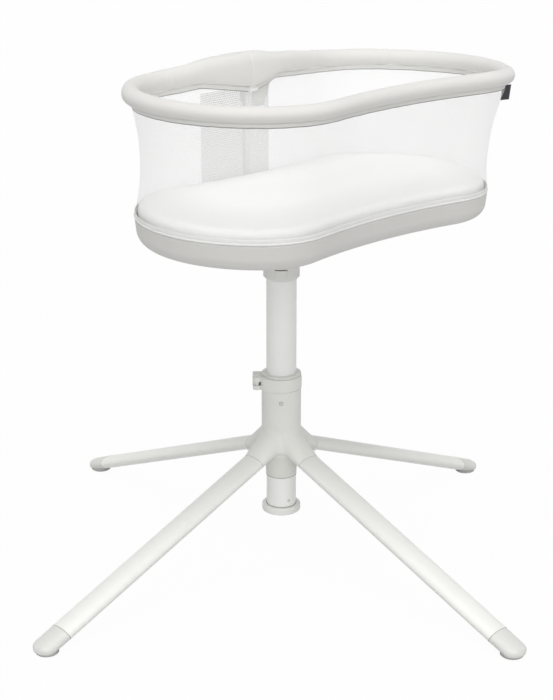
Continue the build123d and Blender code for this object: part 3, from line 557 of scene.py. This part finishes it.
def woven(name, web_colour, pitch, relief, contrast=0.1, use_uv=True, stitches=None):
    """Woven cloth: crossing threads, melange yarn, painted soft shading that comes and goes at random
    and, if asked for, a row of stitches.
    """
    material, tree, shader = new_material(name)
    coords = object_coords(tree)
    if use_uv:
        u, v = cloth_coords(tree)
        turns = 2 * math.pi / (pitch * MM)
        across = math_node(tree, "SINE", math_node(tree, "MULTIPLY", u, turns))
        along = math_node(tree, "SINE", math_node(tree, "MULTIPLY", v, turns))
        crossing = math_node(tree, "MULTIPLY", across, along)
        weave = math_node(tree, "MULTIPLY_ADD", crossing, 0.5, 0.5)
    else:
        cells = add_node(tree, "ShaderNodeTexVoronoi", Vector=coords, Scale=1 / (pitch * MM))
        weave = cells.outputs["Distance"]
    yarn = noise(tree, coords, YARN_SCALE)
    # Broad noise that darkens and lightens the cloth at random: painted soft shading
    soft_shade = noise(tree, coords, SOFT_SHADE_SCALE, detail=3.0, roughness=0.5)
    tone = math_node(tree, "MULTIPLY_ADD", weave, 0.35, math_node(tree, "MULTIPLY", yarn, 0.4))
    tone = math_node(tree, "MULTIPLY_ADD", soft_shade, 0.25, tone)
    colour = vary(tree, tone, hex_colour(web_colour), 1 - contrast, 1 + contrast)
    height = math_node(tree, "MULTIPLY_ADD", yarn, 0.35, weave)
    if stitches is not None:
        height = math_node(tree, "MULTIPLY_ADD", stitch_row(tree, u, v, stitches), 3.0, height)
    normal = bump(tree, height, 0.5, relief * MM)
    plug(tree, shader, colour, span(tree, yarn, 0.78, 0.98), normal)
    shader.inputs["Sheen Weight"].default_value = 0.25
    shader.inputs["Sheen Roughness"].default_value = 0.6
    shader.inputs["Specular IOR Level"].default_value = 0.2
    return material


def netting(name, web_colour, pitch, hole):
    """Knitted net: round holes in staggered rows; hole is their radius as a share of the pitch."""
    material, tree, shader = new_material(name)
    u, v = cloth_coords(tree)
    tall = math.sqrt(3)
    column = math_node(tree, "DIVIDE", u, pitch * MM)
    row = math_node(tree, "DIVIDE", v, pitch * MM * tall)

    def from_middle(place, shift):
        share = math_node(tree, "FRACT", math_node(tree, "ADD", place, shift))
        return math_node(tree, "SUBTRACT", share, 0.5)

    def to_centre(shift):
        a = from_middle(column, shift)
        b = math_node(tree, "MULTIPLY", from_middle(row, shift), tall)
        square = math_node(tree, "MULTIPLY_ADD", a, a, math_node(tree, "MULTIPLY", b, b))
        return math_node(tree, "SQRT", square)

    away = math_node(tree, "MINIMUM", to_centre(0.0), to_centre(0.5))
    yarn = noise(tree, object_coords(tree), NET_YARN_SCALE)
    edge = math_node(tree, "MULTIPLY_ADD", yarn, 0.08, away)
    thread = add_node(tree, "ShaderNodeMapRange", i0=edge, i1=hole, i2=hole + 0.1).outputs[0]
    tree.links.new(thread, shader.inputs["Alpha"])
    colour = vary(tree, yarn, hex_colour(web_colour), 0.94, 1.04)
    plug(tree, shader, colour, span(tree, yarn, 0.7, 0.9), bump(tree, thread, 0.4, 0.0002))
    shader.inputs["Sheen Weight"].default_value = 0.1
    return material


STAND_PLASTIC = moulded("stand_plastic", "E9E9E4", roughness=0.46)
CAP_PLASTIC = moulded("cap_plastic", "D8D9D5", roughness=0.42)
# Cap plastic painted lighter for the end cap, as painted light to offset the hub's shadow on it
END_CAP_LIT_PLASTIC = moulded("end_cap_lit_plastic", "EDEEE9", roughness=0.42)
LEG_PAINT = moulded("leg_paint", "EBEBE7", roughness=0.4, grain=700, depth=0.00005)
POST_PAINT = moulded("post_paint", "F6F6F4", roughness=0.36, grain=800, depth=0.00003)
PAD_RUBBER = moulded("pad_rubber", "B9BAB8", roughness=0.75, gloss=0.25)
BUSH_PLASTIC = moulded("bush_plastic", "E2E2DD", roughness=0.5)
# Dark grey of the seals in the leg seams and about the post, also used as painted shade under the clamp
# lever's band
SEAL_RUBBER_AND_SHADE = moulded("seal_rubber_and_painted_shade", "A2A29E", roughness=0.7, gloss=0.25)
# Screw heads and rivets painted darker than the plastic round them, as painted shade for their recesses
SCREW_PLASTIC_SHADED = moulded("screw_plastic_shaded", "CFCFCA", roughness=0.4)
HEAD_PLASTIC = moulded("head_plastic", "E4E4E0", roughness=0.45)
WHITE_PAINT = moulded("white_paint", "FBFBFA", roughness=0.35, grain=800)
PAN_PLASTIC = moulded("pan_plastic", "DADAD6", roughness=0.5)
BOARD = moulded("board", "CBB89A", roughness=0.7, grain=300)
STEEL = metal("steel", (0.62, 0.62, 0.61), roughness=0.38)
RIM_CLOTH = woven("rim_cloth", "E6E5E2", pitch=1.1, relief=0.22)
HEM_CLOTH = woven("hem_cloth", "E9E8E5", pitch=0.8, relief=0.15, stitches=1.4)
# Dark grey cloth of the cord under the hem, a painted shadow line
SHADOW_LINE_CLOTH = woven("thread", "979794", pitch=0.5, relief=0.1, contrast=0.2)
TRAY_CLOTH = woven("tray_cloth", "D9D8D5", pitch=1.0, relief=0.18, contrast=0.08)
WELT_CLOTH = woven("welt_cloth", "EFEFED", pitch=0.8, relief=0.15)
TAPE_CLOTH = woven("tape_cloth", "EEEEEC", pitch=0.7, relief=0.12, contrast=0.05, stitches=1.2)
SHEET_CLOTH = woven("sheet_cloth", "FDFDFC", pitch=0.7, relief=0.1, contrast=0.015, use_uv=False)
FLAP_CLOTH = woven("flap_cloth", "EEEEEB", pitch=0.9, relief=0.15)
LABEL_CLOTH = woven("label_cloth", "3A3A40", pitch=0.6, relief=0.12, contrast=0.3)
WALL_NET = netting("wall_net", "FDFDFC", pitch=1.6, hole=0.44)
PANEL_NET = netting("panel_net", "C6C6C4", pitch=5.0, hole=0.40)

NODE_MATERIALS = {
    STAND_PLASTIC: ("hub", "clamp_collar", "clamp_lever"),
    LEG_PAINT: [f"{leg}_leg" for leg in LEG_ANGLES],
    CAP_PLASTIC: [f"{leg}_foot_cap" for leg in LEG_ANGLES],
    PAD_RUBBER: [f"{leg}_foot_pad" for leg in LEG_ANGLES],
    END_CAP_LIT_PLASTIC: ("end_cap",),
    BUSH_PLASTIC: ("lower_bush", "upper_bush", "thrust_washer"),
    SCREW_PLASTIC_SHADED: ("bush_screw", "end_cap_rivets"),
    POST_PAINT: ("post_tube", "swivel_spindle"),
    HEAD_PLASTIC: ("post_head", "release_button"),
    STEEL: (
        "leg_screws", "clamp_bolt", "clamp_nut", "lever_pin", "button_spring", "mount_screws",
        "hinge_pin", "return_spring", "rim_tube",
    ),
    WHITE_PAINT: ("rim_post", "hinge_bracket", "rim_knuckle", "mount_plate"),
    PAN_PLASTIC: ("base_pan",),
    BOARD: ("mattress_board",),
}


def paint(mesh, material):
    mesh.materials.clear()
    mesh.materials.append(material)


def dress(piece, material, body=None, nodes=()):
    """Gives a piece its material and body, and hides the CAD nodes that it replaces."""
    paint(piece.data, material)
    if body:
        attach(piece, body)
    if nodes:
        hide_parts(*nodes)
    return piece


for node_material, node_names in NODE_MATERIALS.items():
    for node_name in node_names:
        paint(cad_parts[node_name].data, node_material)


# Padded rim: a roll that swells into the bolster over the hinge


def profile(x, marks, blur):
    """Height over a distance, straight between marks and rounded at each of them."""
    at, height = np.array(marks, dtype=float).T
    offsets = np.linspace(-blur, blur, 9)
    return np.mean([np.interp(x + offset, at, height) for offset in offsets], axis=0)


def rim_section(run):
    """Top, bottom, half thickness, outward shift and squareness of the padded rim along its run."""
    signed = np.where(run > PLAN_LENGTH + RIM_START, run - PLAN_LENGTH, run)
    top = profile(signed, RIM_TOPS, TOP_BLUR)
    bottom = profile(signed, RIM_LOWS, LOW_BLUR)
    swell = 1 - smooth(np.abs(signed), BOLSTER_FULL, BOLSTER_END)
    half_thick = ROLL_HALF_THICK + swell * (BOLSTER_HALF_THICK - ROLL_HALF_THICK)
    return top, bottom, half_thick, swell * BOLSTER_OUT, 2 + BOLSTER_SQUARENESS * swell


def make_rim_cover(around=40):
    """Roll and bolster in one cover, drawn in at its seams."""
    run = stations(3.6, SEAMS)
    top, bottom, half_thick, out, power = (value[:, None] for value in rim_section(run))
    pinch = np.zeros_like(run)
    for seam in SEAMS:
        gap = signed_gap(run, seam)
        pinch -= SEAM_PINCH * np.exp(-((gap / SEAM_WIDTH) ** 2))
        pinch -= PUCKER_DEPTH * np.exp(-((gap / PUCKER_WIDTH) ** 2))
    turn = full_turn(around)[None, :]
    wave = ROLL_WAVE * ripple(run, seed=3, length=90)[:, None] * np.sin(turn + 0.6)
    puff = ROLL_PUFF * ripple(run, seed=5, length=60)[:, None]
    soft = wave + puff + pinch[:, None]
    across = squared(np.cos(turn), power) * (half_thick + soft)
    upward = squared(np.sin(turn), power) * ((top - bottom) / 2 + soft)
    grid = plan_grid(run, RIM_GROW + out + across, RIM_FORWARD, (top + bottom) / 2 + upward)
    girth = np.linspace(0, 2 * math.pi * ROLL_HALF_THICK, around + 1)
    piece = grid_object("rim_cover", grid, np.r_[run, PLAN_LENGTH], girth, True, True)
    dress(piece, RIM_CLOTH, "rim", ("rim_pad", "back_bolster"))


def hem_foot(run):
    """Height of the hem's lower edge."""
    return rim_section(run)[1] - HEM_HEIGHT + HEM_WAVE * ripple(run, seed=11, length=45)


def make_hem():
    """Flat padded band under the roll."""
    run = stations(4)
    section = pillow(HEM_HALF_THICK, HEM_HEIGHT / 2, power=2.6, around=16)
    height = hem_foot(run) + HEM_HEIGHT / 2
    piece = strand("hem_band", run, section, HEM_GROW, height, RIM_FORWARD)
    dress(piece, HEM_CLOTH, "rim", ("rim_hem",))


def make_hem_shadow_line():
    """Dark cord where the net is sewn in under the hem: a painted shadow line under the hem."""
    run = stations(4)
    section = pillow(SHADOW_LINE_HALF_THICK, SHADOW_LINE_HEIGHT / 2 + SHADOW_LINE_TUCK, power=2.0, around=8)
    piece = strand("hem_shadow_line", run, section, HEM_GROW + SHADOW_LINE_PROUD, hem_foot(run), RIM_FORWARD)
    dress(piece, SHADOW_LINE_CLOTH, "rim")


def make_flap(cols=16, rows=16):
    """Gusset of solid cloth that hangs from the bolster beside the post."""
    across = np.linspace(0, 1, cols)[:, None]
    down = np.linspace(0, 1, rows)[None, :]
    corner = FLAP_CORNER_RISE * smooth(across, FLAP_CORNER_START, 1.0)
    high = FLAP_TOP + FLAP_TOP_RISE * across
    low = FLAP_FOOT + FLAP_FOOT_RISE * across + corner
    edge = FLAP_OUTER - FLAP_TAPER * down
    belly = FLAP_BELLY * down * np.sin(math.pi * across)
    grid = np.empty((cols, rows, 3))
    grid[..., 0] = FLAP_INNER + (edge - FLAP_INNER) * across
    grid[..., 1] = FLAP_BACK - FLAP_LEAN * across - belly
    grid[..., 2] = high + (low - high) * down
    width = np.linspace(0, FLAP_OUTER - FLAP_INNER, cols)
    piece = grid_object("hinge_flap", grid, width, np.linspace(0, FLAP_TOP - FLAP_FOOT, rows))
    thicken(piece, FLAP_THICK)
    dress(piece, FLAP_CLOTH, None)
    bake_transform(piece)


# Net wall, tape and outer net


def wall_place(height):
    """Outward move and forward shift of the wall at a height."""
    t = (height - WALL_LOW) / (WALL_HIGH - WALL_LOW)
    low, middle, high = WALL_GROWS
    grow = low * (1 - t) * (1 - 2 * t) + middle * 4 * t * (1 - t) + high * t * (2 * t - 1)
    return grow, BASKET_FORWARD + (RIM_FORWARD - BASKET_FORWARD) * t


def make_wall(rows=26):
    """Net from the tape up to the hem, drawn in half way up."""
    run = stations(5)
    top = rim_section(run)[1] - HEM_HEIGHT - SHADOW_LINE_HEIGHT + WALL_TUCK
    part = np.linspace(0, 1, rows)[None, :]
    height = WALL_LOW + (top[:, None] - WALL_LOW) * part
    grow, forward = wall_place(height)
    wave = WALL_GATHER * ripple(run, seed=31, length=26)[:, None]
    grid = plan_grid(run, grow + wave * (1 - smooth(part, *WALL_GATHER_FADE)), forward, height)
    along = np.r_[run, PLAN_LENGTH]
    piece = grid_object("wall_net", grid, along, part[0] * (WALL_HIGH - WALL_LOW), wrap_u=True)
    dress(piece, WALL_NET, None, ("mesh_wall",))
    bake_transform(piece)
    return piece


def make_tape():
    """Binding along the lower edge of the net."""
    run = stations(5)
    section = pillow(TAPE_HALF_THICK, TAPE_HEIGHT / 2, power=3.0, around=12)
    wave = TAPE_WAVE * ripple(run, seed=33, length=60)
    height = WALL_LOW + TAPE_HEIGHT / 2 - TAPE_DROP + wave
    piece = strand("wall_tape", run, section, TAPE_GROW, height, BASKET_FORWARD)
    return dress(piece, TAPE_CLOTH, "basket")


def make_panel(cols=40, rows=24):
    """Outer net behind the post, from the tray up to the hinge."""
    x = np.linspace(PANEL_LEFT, PANEL_RIGHT, cols)
    z = np.linspace(PANEL_LOW, PANEL_HIGH, rows)
    grid = np.empty((cols, rows, 3))
    grid[..., 0] = x[:, None]
    grid[..., 1] = (PANEL_BACK - PANEL_SAG * (x / PANEL_LEFT) ** 2)[:, None]
    grid[..., 2] = z[None, :]
    piece = grid_object("panel_net", grid, x - PANEL_LEFT, z - PANEL_LOW)
    dress(piece, PANEL_NET, "basket", ("back_panel",))


# Tray cover, welt and mattress


def tray_profile():
    """Outward move and height down the tray's side, round its lower edge and in underneath."""
    centre_z = TRAY_BOTTOM + TRAY_CORNER
    lean = (TRAY_TOP - centre_z) * math.tan(TRAY_DRAFT)
    centre_grow = -lean - TRAY_CORNER / math.cos(TRAY_DRAFT)
    turn = np.linspace(-TRAY_DRAFT, -math.pi / 2, 24)
    arc = np.c_[centre_grow + TRAY_CORNER * np.cos(turn), centre_z + TRAY_CORNER * np.sin(turn)]
    lip = np.array(TRAY_LIP) + (0, TRAY_TOP)
    line = np.vstack([lip, arc, [(-TRAY_TURN, TRAY_BOTTOM)]])
    return line, arc_length(line)


def tray_ends(run, line, length):
    """Distance down the tray's profile at which the cover ends, clear of the mount plate."""
    points, _ = plan_at(run)
    at_back = points[:, 1] > 0
    x = np.abs(points[:, 0])
    back_y = points[:, 1] - BASKET_FORWARD
    edge_y = np.sqrt(np.maximum(PLATE_CLEAR**2 - np.minimum(x, PLATE_CLEAR) ** 2, 0))
    room = np.maximum(back_y - edge_y, 0) + line[-2, 0]
    at_plate = np.minimum(length[-1], length[-2] + np.maximum(room, 1.0))
    end = np.where(at_back & (x < PLATE_CLEAR), at_plate, length[-1])
    side = slice(len(TRAY_LIP), -1)
    over_tongue = np.interp(-TONGUE_TOP, -line[side, 1], length[side])
    return np.where(at_back & (x < TONGUE_CLEAR), over_tongue, end)


def make_tray(cols=44):
    """Cloth over the side of the tray, gathered underneath and notched for the mount plate."""
    back = slice(BACK_STATIONS)
    notches = np.interp((TONGUE_CLEAR, PLATE_CLEAR), PLAN_POINTS[back, 0], PLAN_RUN[back])
    run = stations(5, [side * notch for notch in notches for side in (-1, 1)], reach=4, fine=1.0)
    line, length = tray_profile()
    part = np.linspace(0, 1, cols)[None, :] ** TRAY_ROW_BIAS
    down = tray_ends(run, line, length)[:, None] * part
    side = smooth(down, *TRAY_WAVE_START) * (1 - smooth(down, *TRAY_WAVE_END))
    wave = TRAY_WAVE * ripple(run, seed=21, length=120)[:, None]
    grow = np.interp(down, length, line[:, 0]) + wave * side
    gather = smooth(down, length[-1] - TRAY_GATHER_START, length[-1] - TRAY_GATHER_FULL)
    folds = TRAY_GATHER * (ripple(run, seed=23, length=16)[:, None] - TRAY_GATHER_SINK)
    height = np.interp(down, length, line[:, 1]) + gather * folds
    grid = plan_grid(run, grow, BASKET_FORWARD, height)[:, ::-1]
    along = np.r_[run, PLAN_LENGTH]
    piece = grid_object("tray_cover", grid, along, part[0] * length[-1], wrap_u=True)
    dress(piece, TRAY_CLOTH, "basket", ("base_cover",))


def make_welt():
    """Piping on the edge of the tray."""
    run = stations(4)
    section = pillow(WELT_RADIUS, WELT_RADIUS, power=2.0, around=12)
    height = TRAY_TOP + WELT_RADIUS + WELT_LIFT
    piece = strand("tray_welt", run, section, WELT_GROW, height, BASKET_FORWARD)
    dress(piece, WELT_CLOTH, "basket", ("base_piping",))


def closed_pad(name, levels, run):
    """Closed mesh through plan outlines at heights and outward moves, flat at both ends."""
    heights, grows = np.array(levels).T
    rings = plan_grid(run, grows, BASKET_FORWARD, heights).swapaxes(0, 1)
    count = len(run)
    vertices = rings.reshape(-1, 3) * MM
    faces = []
    for ring in range(len(rings) - 1):
        for k in range(count):
            a, b = ring * count + k, ring * count + (k + 1) % count
            faces.append((a, a + count, b + count, b))
    faces.append(tuple(range(count)))
    faces.append(tuple(range(len(vertices) - 1, len(vertices) - count - 1, -1)))
    mesh = bpy.data.meshes.new(name)
    mesh.from_pydata(vertices.tolist(), [], faces)
    mesh.validate()
    return add_object(name, mesh)


def inflate(piece, pressure, cap, pinned, voxel=6, frames=20):
    """Swells a closed pad by cloth pressure; no point moves more than cap."""
    even_mesh(piece, voxel)
    start = vertex_array(piece.data)
    group = piece.vertex_groups.new(name="held")
    group.add([int(k) for k in np.nonzero(pinned(start))[0]], 1.0, "REPLACE")
    cloth = piece.modifiers.new("cloth", "CLOTH")
    cloth.settings.use_pressure = True
    cloth.settings.uniform_pressure_force = pressure
    cloth.settings.effector_weights.gravity = 0
    cloth.settings.vertex_group_mass = "held"
    cloth.point_cache.frame_start = 1
    cloth.point_cache.frame_end = frames
    scene = bpy.context.scene
    for step in range(1, frames + 1):
        scene.frame_set(step)
    graph = bpy.context.evaluated_depsgraph_get()
    moved = vertex_array(piece.evaluated_get(graph).data) - start
    piece.modifiers.clear()
    scene.frame_set(1)
    far = np.linalg.norm(moved, axis=1)
    moved *= np.minimum(1, cap * MM / np.maximum(far, 1e-9))[:, None]
    piece.data.vertices.foreach_set("co", (start + moved).ravel())
    piece.vertex_groups.clear()
    subdivide = piece.modifiers.new("soft", "SUBSURF")
    subdivide.levels = subdivide.render_levels = 1
    apply_modifiers(piece)
    smooth_faces(piece.data)


def make_mattress():
    """Pad that is held at its foot and swells to its full height."""
    thick = MATTRESS_HIGH - MATTRESS_LOW - MATTRESS_SWELL
    levels = [(MATTRESS_LOW + part * thick, grow) for part, grow in MATTRESS_SIDE]
    piece = closed_pad("mattress_pad", levels, stations(6))
    held_below = (MATTRESS_LOW + MATTRESS_HELD) * MM
    inflate(piece, MATTRESS_PRESSURE, MATTRESS_CAP, lambda co: co[:, 2] < held_below)
    dress(piece, SHEET_CLOTH, "basket", ("mattress",))


def make_label(rows=14):
    """Plain ribbon folded into a flag that stands out from the hem."""
    end_middle = np.array((END_X, -RIM_FORWARD))
    root = end_middle + (END_RADIUS + LABEL_GROW) * heading(LABEL_PLACE)
    ray, side = heading(LABEL_RAY), heading(LABEL_RAY + 90)
    half_gap = LABEL_GAP / 2
    turn = np.linspace(-math.pi / 2, math.pi / 2, 7)
    out = np.linspace(0, LABEL_REACH - half_gap, 9)
    first = np.c_[out, np.full_like(out, -half_gap)]
    fold = np.c_[out[-1] + half_gap * np.cos(turn), half_gap * np.sin(turn)]
    line = np.vstack([first, fold[1:-1], first[::-1] * (1, -1)])
    part = np.linspace(0, 1, rows)[None, :]
    bend = np.sin(LABEL_CURL_SWEEP * part + LABEL_CURL_FIRST)
    curl = LABEL_CURL * (line[:, :1] / LABEL_REACH) * bend
    away = line[:, :1] - LABEL_SLANT * (1 - part) ** LABEL_SLANT_POWER
    aside = line[:, 1:] + curl
    grid = np.empty((len(line), rows, 3))
    grid[..., 0] = root[0] + away * ray[0] + aside * side[0]
    grid[..., 1] = root[1] + away * ray[1] + aside * side[1]
    grid[..., 2] = LABEL_LOW + (LABEL_HIGH - LABEL_LOW) * part
    tall = part[0] * (LABEL_HIGH - LABEL_LOW)
    piece = grid_object("label_ribbon", grid, arc_length(line), tall)
    thicken(piece, LABEL_THICK)
    dress(piece, LABEL_CLOTH, "rim", ("label_tab",))


# Rounded toes, thin seals, and a dark ring of painted shade on the stand


def leg_frame(angle, reach):
    """Point on a leg's axis, with the unit vectors along, aside and up from it."""
    way, aside = np.append(heading(angle), 0), np.append(heading(angle + 90), 0)
    axis = math.cos(LEG_SLOPE) * way - np.array((0, 0, math.sin(LEG_SLOPE)))
    up = math.sin(LEG_SLOPE) * way + np.array((0, 0, math.cos(LEG_SLOPE)))
    centre = reach * way + np.array((0, 0, LEG_ROOT_Z - reach * math.tan(LEG_SLOPE)))
    return centre, axis, aside, up


def seal_or_shade_ring(name, grid, round_length):
    """Closed ring of seal, or of painted shade, over a grid of sections."""
    along = np.linspace(0, round_length, grid.shape[0] + 1)
    girth = np.linspace(0, SEAL_GIRTH, grid.shape[1] + 1)
    return grid_object(name, grid, along, girth, True, True)


def make_leg_seal(leg, angle, seam_name, reach, around=64):
    """Oval seal in the seam of a leg, square to the leg."""
    centre, axis, side, up = leg_frame(angle, reach)
    section = pillow(LEG_SEAL_HALF_WIDE, LEG_SEAL_HALF_TALL, SEAL_SQUARENESS, SEAL_SIDES)
    turn = full_turn(around)[:, None, None]
    proud = section[None, :, :1] - LEG_SEAL_SINK
    across = (LEG_HALF_WIDTH + proud) * np.cos(turn) * side
    upward = (LEG_HALF_HEIGHT + proud) * np.sin(turn) * up
    grid = centre + across + upward + section[None, :, 1:] * axis
    piece = seal_or_shade_ring(f"{leg}_{seam_name}_seal", grid, LEG_SEAL_ROUND)
    dress(piece, SEAL_RUBBER_AND_SHADE, "stand")


def make_toe(leg, angle, voxel=1.8, rounds=36):
    """Foot cap with its edges rounded over, except where it meets the leg."""
    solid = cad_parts[f"{leg}_foot_cap"]
    piece = add_object(f"{leg}_toe", solid.data.copy())
    even_mesh(piece, voxel)
    centre, axis, _, _ = leg_frame(angle, FOOT_SEAM)
    share = smooth((vertex_array(piece.data) / MM - centre) @ axis, *TOE_BLEND)
    group = piece.vertex_groups.new(name="rounded")
    for k, weight in enumerate(share):
        group.add([k], float(weight), "REPLACE")
    soften = piece.modifiers.new("rounded", "SMOOTH")
    soften.factor = 0.5
    soften.iterations = rounds
    soften.vertex_group = "rounded"
    apply_modifiers(piece)
    piece.vertex_groups.clear()
    smooth_faces(piece.data)
    dress(piece, CAP_PLASTIC, "stand", (f"{leg}_foot_cap",))


def make_ring(name, body, radius, height, half_wide, half_tall, around=72):
    """Round dark ring about the post: a seal, or painted shade in a gap."""
    section = pillow(half_wide, half_tall, SEAL_SQUARENESS, SEAL_SIDES)
    turn = full_turn(around)[:, None]
    grid = np.empty((around, len(section), 3))
    grid[..., 0] = (radius + section[None, :, 0]) * np.cos(turn)
    grid[..., 1] = (radius + section[None, :, 0]) * np.sin(turn)
    grid[..., 2] = height + section[None, :, 1]
    dress(seal_or_shade_ring(name, grid, RING_ROUND), SEAL_RUBBER_AND_SHADE, body)


for leg_name, leg_angle in LEG_ANGLES.items():
    make_leg_seal(leg_name, leg_angle, "hub", HUB_SEAM)
    make_leg_seal(leg_name, leg_angle, "foot", FOOT_SEAM)
    make_toe(leg_name, leg_angle)
make_ring(
    "post_wiper", "stand",
    radius=POST_RADIUS + 0.7, height=SKIRT_BOTTOM - 0.75, half_wide=0.55, half_tall=0.7,
)
# Dark ring in the gap under the clamp lever's band: painted shade for the shadow line under the band
make_ring(
    "clamp_shadow_ring", "stand",
    radius=COLUMN_RADIUS + 0.2, height=COLLAR_FOOT + 1.2, half_wide=0.7, half_tall=1.05,
)
make_ring(
    "cap_seal", "post",
    radius=POST_RADIUS + 0.6, height=CAP_TOP + 0.75, half_wide=0.5, half_tall=0.7,
)
make_rim_cover()
make_hem()
make_hem_shadow_line()
make_flap()
wall_net = make_wall()
wall_tape = make_tape()
make_panel()
make_tray()
make_welt()
make_mattress()
make_label()


# Floor, light and camera


def seen_by_camera(tree):
    """1 on rays from the camera, also by way of gloss or glass, else 0."""
    path = add_node(tree, "ShaderNodeLightPath").outputs
    seen = math_node(tree, "MAXIMUM", path["Is Camera Ray"], path["Is Glossy Ray"])
    return math_node(tree, "MAXIMUM", seen, path["Is Transmission Ray"])


def make_floor():
    """Floor that looks white to the camera and keeps the object's shadow."""
    corners = [(x * FLOOR_HALF, y * FLOOR_HALF, 0) for x, y in ((-1, -1), (1, -1), (1, 1), (-1, 1))]
    mesh = bpy.data.meshes.new("floor")
    mesh.from_pydata(corners, [], [(0, 1, 2, 3)])
    material, tree, shader = new_material("floor")
    shader.inputs["Base Color"].default_value = (FLOOR_GREY, FLOOR_GREY, FLOOR_GREY, 1)
    shader.inputs["Roughness"].default_value = 0.9
    white = add_node(tree, "ShaderNodeEmission", Color=(1, 1, 1, 1), Strength=1.0).outputs[0]
    share = math_node(tree, "MULTIPLY", seen_by_camera(tree), FLOOR_WHITE_SHARE)
    mix = add_node(tree, "ShaderNodeMixShader", i0=share, i1=shader.outputs[0], i2=white)
    tree.links.new(mix.outputs[0], tree.nodes["Material Output"].inputs["Surface"])
    mesh.materials.append(material)
    add_object("floor", mesh)


def make_world():
    """White surroundings for the camera, and a dimmer even light for everything else."""
    world = bpy.data.worlds.new("studio")
    world.use_nodes = True
    bpy.context.scene.world = world
    tree = world.node_tree
    background = tree.nodes["Background"]
    background.inputs["Color"].default_value = (1, 1, 1, 1)
    strength = span(tree, seen_by_camera(tree), WORLD_STRENGTH, 1.0)
    tree.links.new(strength, background.inputs["Strength"])


def make_sun(name, direction, strength, angle):
    lamp = bpy.data.lights.new(name, "SUN")
    lamp.energy = strength
    lamp.angle = math.radians(angle)
    light = add_object(name, lamp)
    light.rotation_euler = Vector(direction).to_track_quat("-Z", "Y").to_euler()


def make_camera():
    lens = bpy.data.cameras.new("camera")
    lens.lens = CAMERA_LENS
    lens.sensor_width = CAMERA_SENSOR
    lens.sensor_fit = "AUTO"
    camera = add_object("camera", lens)
    camera.location = CAMERA_PLACE
    camera.rotation_euler = (math.radians(90 - CAMERA_DOWN), 0, math.radians(CAMERA_TURN))
    bpy.context.scene.camera = camera


make_floor()
make_world()
for sun_name, sun in SUNS.items():
    make_sun(sun_name, **sun)
make_camera()
bpy.context.scene.view_settings.view_transform = "Standard"
